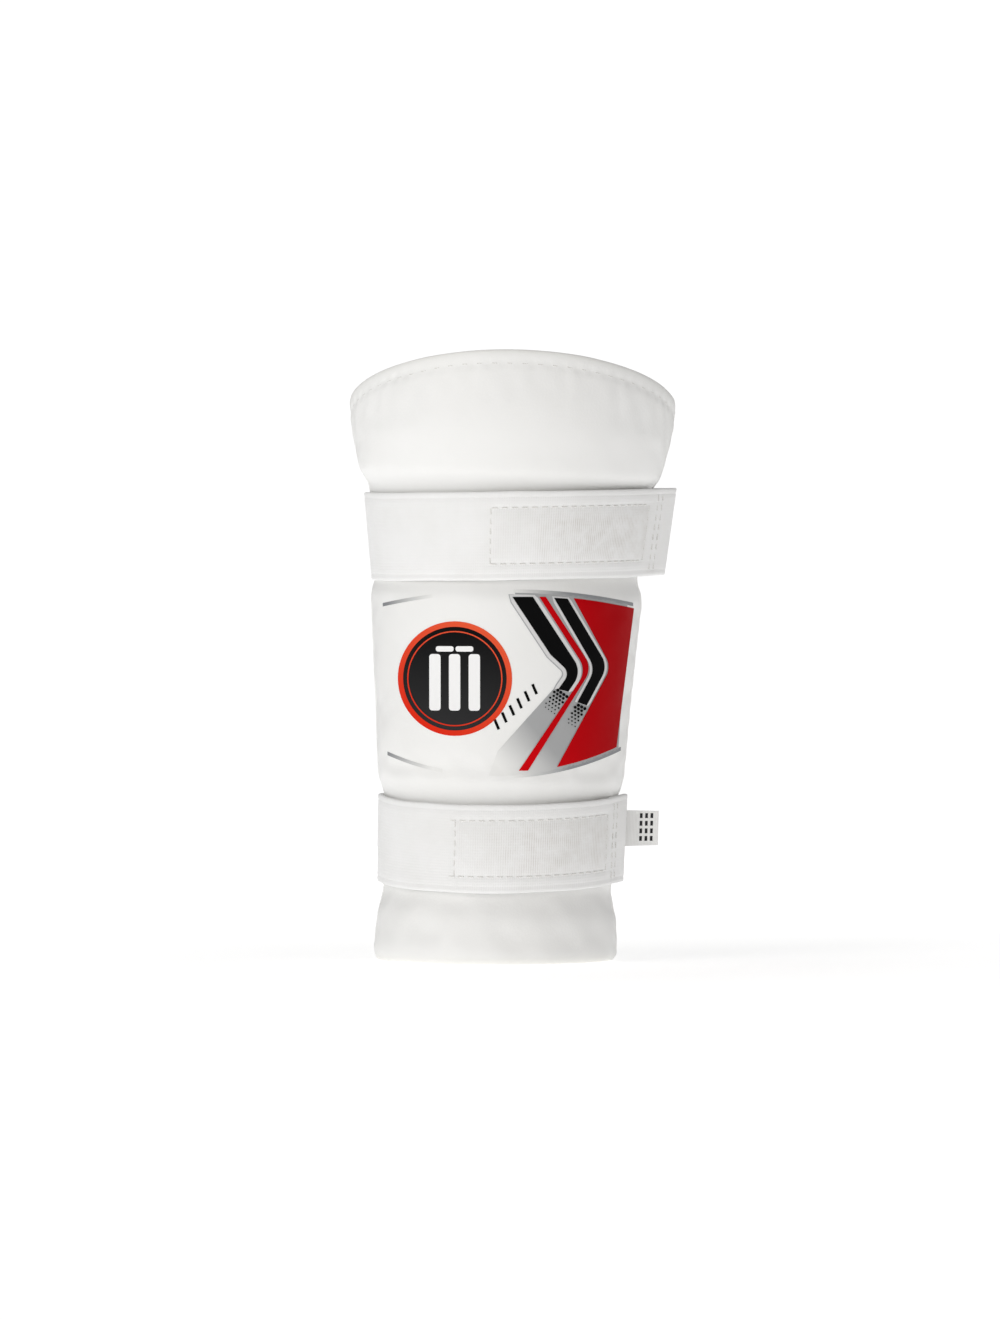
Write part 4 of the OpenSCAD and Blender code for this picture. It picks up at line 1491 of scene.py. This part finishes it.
for side, word in ((-1, "left"), (1, "right")):
    heights = np.arange(3.5, 221, 2.4)
    rings = []
    profile = [(-0.85, -0.3), (-0.6, 0.35), (-0.2, 0.62), (0.2, 0.62), (0.6, 0.35), (0.85, -0.3)]
    spots = []
    for z in heights:
        radius = float(outerRadius(z))
        y = -seamSetup["setIn"]
        spots.append(padSpot(side * math.sqrt(radius ** 2 - y ** 2), y, z))
    places = np.array([s[0] for s in spots])
    for i, (spot, direction) in enumerate(spots):
        run = Vector(places[min(i + 1, len(places) - 1)] - places[max(i - 1, 0)]).normalized()
        across = run.cross(direction).normalized()
        out = across.cross(run)
        end = min(1, (i + 0.6) / 3, (len(spots) - 0.4 - i) / 3)
        rings.append([spot + across * u * (0.6 + 0.4 * end) + out * (v * end - 0.1)
                      for u, v in profile])
    ridge = sweepTape("side_seam_ridge_" + word, np.array(rings), heights, coatedFabric)
    finishWith(ridge, "SUBSURF", levels=1, render_levels=1)
    shadeSmooth(ridge, 60)
    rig.ride(ridge, "pad")
    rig.replaces(ridge, "side_seam_" + word)
    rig.slot(ridge, "coated_cover")

rows = []
for along in np.arange(-84, 84.1, seamSetup["stitchPitch"]):
    z = 240.0
    for _ in range(5):
        radius = float(outerRadius(z))
        angle = along / radius
        x, y = radius * math.sin(angle), -radius * math.cos(angle)
        z = float(archHeight(x, y)) - padShape["stitchMargin"]
        z += 0.5 * noise.noise(Vector((along / 23, 0, 0)) + Vector((7.7, 15.4, -7.7)))
    spot, direction = padSpot(x, y, z)
    nextSpot, _ = padSpot(radius * math.sin(angle + 0.02), -radius * math.cos(angle + 0.02), z)
    if spot is None or nextSpot is None:
        continue
    slope = 0.333 * math.sin(angle)
    rows.append((spot, (nextSpot - spot).normalized() + Vector((0, 0, -slope)), direction))
closing = sewRow("closing_thread", *zip(*rows), size=0.9)
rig.ride(closing, "pad")
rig.replaces(closing, "top_stitching")
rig.slot(closing, "thread")
print("seams and closing stitches made")

# size tape: a folded satin ribbon out of the right seam

labelSetup = {"start": 48.6, "length": 17.0, "width": 15.0, "height": 56.2, "thickness": 0.28}


def labelSway(along):  # the ribbon's gentle curve
    return 0.5 * math.sin(along / labelSetup["length"] * 3.0)


def makeLabel():
    first, length = labelSetup["start"], labelSetup["length"]
    back = -padShape["rearEdge"] + 0.5
    out = [(first + t, back + 0.62 + labelSway(t)) for t in np.linspace(-1.6, length - 0.5, 15)]
    turn = [(first + length - 0.5 + 0.3 * math.sin(a), back + 0.36 + 0.26 * math.cos(a) + 0.04)
            for a in np.radians((30, 60, 90, 120, 150))]
    home = [(first + t, back + 0.12 + labelSway(t)) for t in np.linspace(length - 0.5, -1.6, 15)]
    line = np.array(out + turn + home)
    half = labelSetup["width"] / 2
    thick = labelSetup["thickness"] / 2
    rings = []
    for i, (x, y) in enumerate(line):
        run = line[min(i + 1, len(line) - 1)] - line[max(i - 1, 0)]
        run = run / np.linalg.norm(run)
        side = np.array([-run[1], run[0]])
        rise = (x - first) / length
        ring = []
        lower = [(v, -thick) for v in (-half, -half / 2, 0, half / 2, half)]
        for v, t in lower + [(v, thick) for v, _ in lower[::-1]]:
            z = labelSetup["height"] + v * (1 - 0.06 * rise) + 0.7 * rise
            ring.append(padToWorld(x + side[0] * t, y + side[1] * t, z))
        rings.append(ring)
    label = sweepTape("folded_size_tape", np.array(rings), routeLengths(line), satinTape)
    shadeSmooth(label, 40)
    return label


label = makeLabel()
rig.ride(label, "size_tape")
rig.replaces(label, "size_tape")
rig.slot(label, "satin_tape")
inkFilm = makeTransfer("label_ink", (0, 0, 40), (0, 0, 70), "#2c2c2e", "#38383a", 0.6)


def printLabel():
    deselectAll()
    first, length = labelSetup["start"], labelSetup["length"]
    back = -padShape["rearEdge"] + 0.5
    vertices, faces = [], []
    for k in range(3):
        t = length - 3.4 - 2.2 * k
        for dz in np.linspace(-5.3, 4.1, 4):
            for u, v in ((0, 0), (1.1, 0), (1.1, 2.0), (0, 2.0)):
                at = t + u
                y = back + 0.12 + labelSway(at) - labelSetup["thickness"] / 2 - 0.03
                z = labelSetup["height"] + dz + v + 0.7 * at / length
                place = padToWorld(np.float64(first + at), np.float64(y), np.float64(z))
                vertices.append(Vector(place) * mm)
            faces.append([len(vertices) - 4 + c for c in range(4)])
    bars = meshPiece("label_bars", vertices, faces, inkFilm)
    finishWith(bars, "SOLIDIFY", thickness=0.02 * mm, offset=0)
    return bars


bars = printLabel()
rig.ride(bars, "size_tape")
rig.replaces(bars, "size_tape_print")
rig.slot(bars, "print_black")
print("size tape folded")

# floor and light

stageSetup = {"key": 17.8, "fill": 2.6, "top": 4.0, "ambient": 0.3, "nearGlow": 0.56, "farGlow": 1.0}


def makeStage():
    deselectAll()
    bpy.ops.mesh.primitive_circle_add(vertices=96, radius=1.4, fill_type="NGON")
    floor = bpy.context.object
    floor.name = "studio_floor"
    material, shader = newMaterial("white_studio_floor", Roughness=0.9)
    shader.inputs["Base Color"].default_value = fromHex("#f7f7f7")
    shader.inputs["Emission Color"].default_value = fromHex("#ffffff")
    # painted light: the paper glows, more and more with the distance from the pad
    place = addNode(material, "TexCoord").outputs["Object"]
    away = addNode(material, "VectorMath", {"operation": "LENGTH"}, {0: place})
    glow = addNode(material, "MapRange", {"From Min": 0.12, "From Max": 1.1,
                                          "To Min": stageSetup["nearGlow"],
                                          "To Max": stageSetup["farGlow"]},
                   {"Value": away.outputs["Value"]})
    wire(material, glow.outputs[0], shader, "Emission Strength")
    floor.data.materials.append(material)
    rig.stage(floor)
    world = bpy.data.worlds.new("studio")
    scene.world = world
    world.use_nodes = True
    world.node_tree.nodes["Background"].inputs["Color"].default_value = (1, 1, 1, 1)
    world.node_tree.nodes["Background"].inputs["Strength"].default_value = stageSetup["ambient"]
    # a plain white dome all round, which only the camera sees
    bpy.ops.mesh.primitive_uv_sphere_add(segments=64, ring_count=32, radius=11)
    dome = bpy.context.object
    dome.name = "white_backdrop"
    material, shader = newMaterial("white_backdrop_paper", Roughness=1.0)
    shader.inputs["Base Color"].default_value = (0, 0, 0, 1)
    shader.inputs["Emission Color"].default_value = (1, 1, 1, 1)
    shader.inputs["Emission Strength"].default_value = 1.05
    dome.data.materials.append(material)
    dome.visible_diffuse = False
    dome.visible_glossy = False
    dome.visible_shadow = False
    dome.visible_transmission = False
    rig.stage(dome)


def softbox(name, place, aim, size, power, tone="#ffffff"):
    bpy.ops.object.light_add(type="AREA", location=place)
    lamp = bpy.context.object
    lamp.name = name
    lamp.data.shape = "RECTANGLE"
    lamp.data.size, lamp.data.size_y = size
    lamp.data.energy = power
    lamp.data.color = fromHex(tone)[:3]
    lamp.rotation_euler = (Vector(place) - Vector(aim)).to_track_quat("Z", "Y").to_euler()


makeStage()
softbox("key", (-1.6, -1.9, 0.75), (0, 0, 0.12), (1.3, 1.6), stageSetup["key"], "#fffdfa")
softbox("fill", (1.6, -2.2, 0.7), (0, 0, 0.12), (1.2, 1.2), stageSetup["fill"], "#ffefdc")
softbox("top", (0.1, 0.4, 2.2), (0, 0, 0.1), (1.8, 1.8), stageSetup["top"])
scene.view_settings.view_transform = "Standard"
print("studio lit")

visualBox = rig.bounds()
with open("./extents.json", "w") as sizes:
    json.dump({"cad": [list(corner) for corner in cadBox],
               "visual": [list(corner) for corner in visualBox]}, sizes)
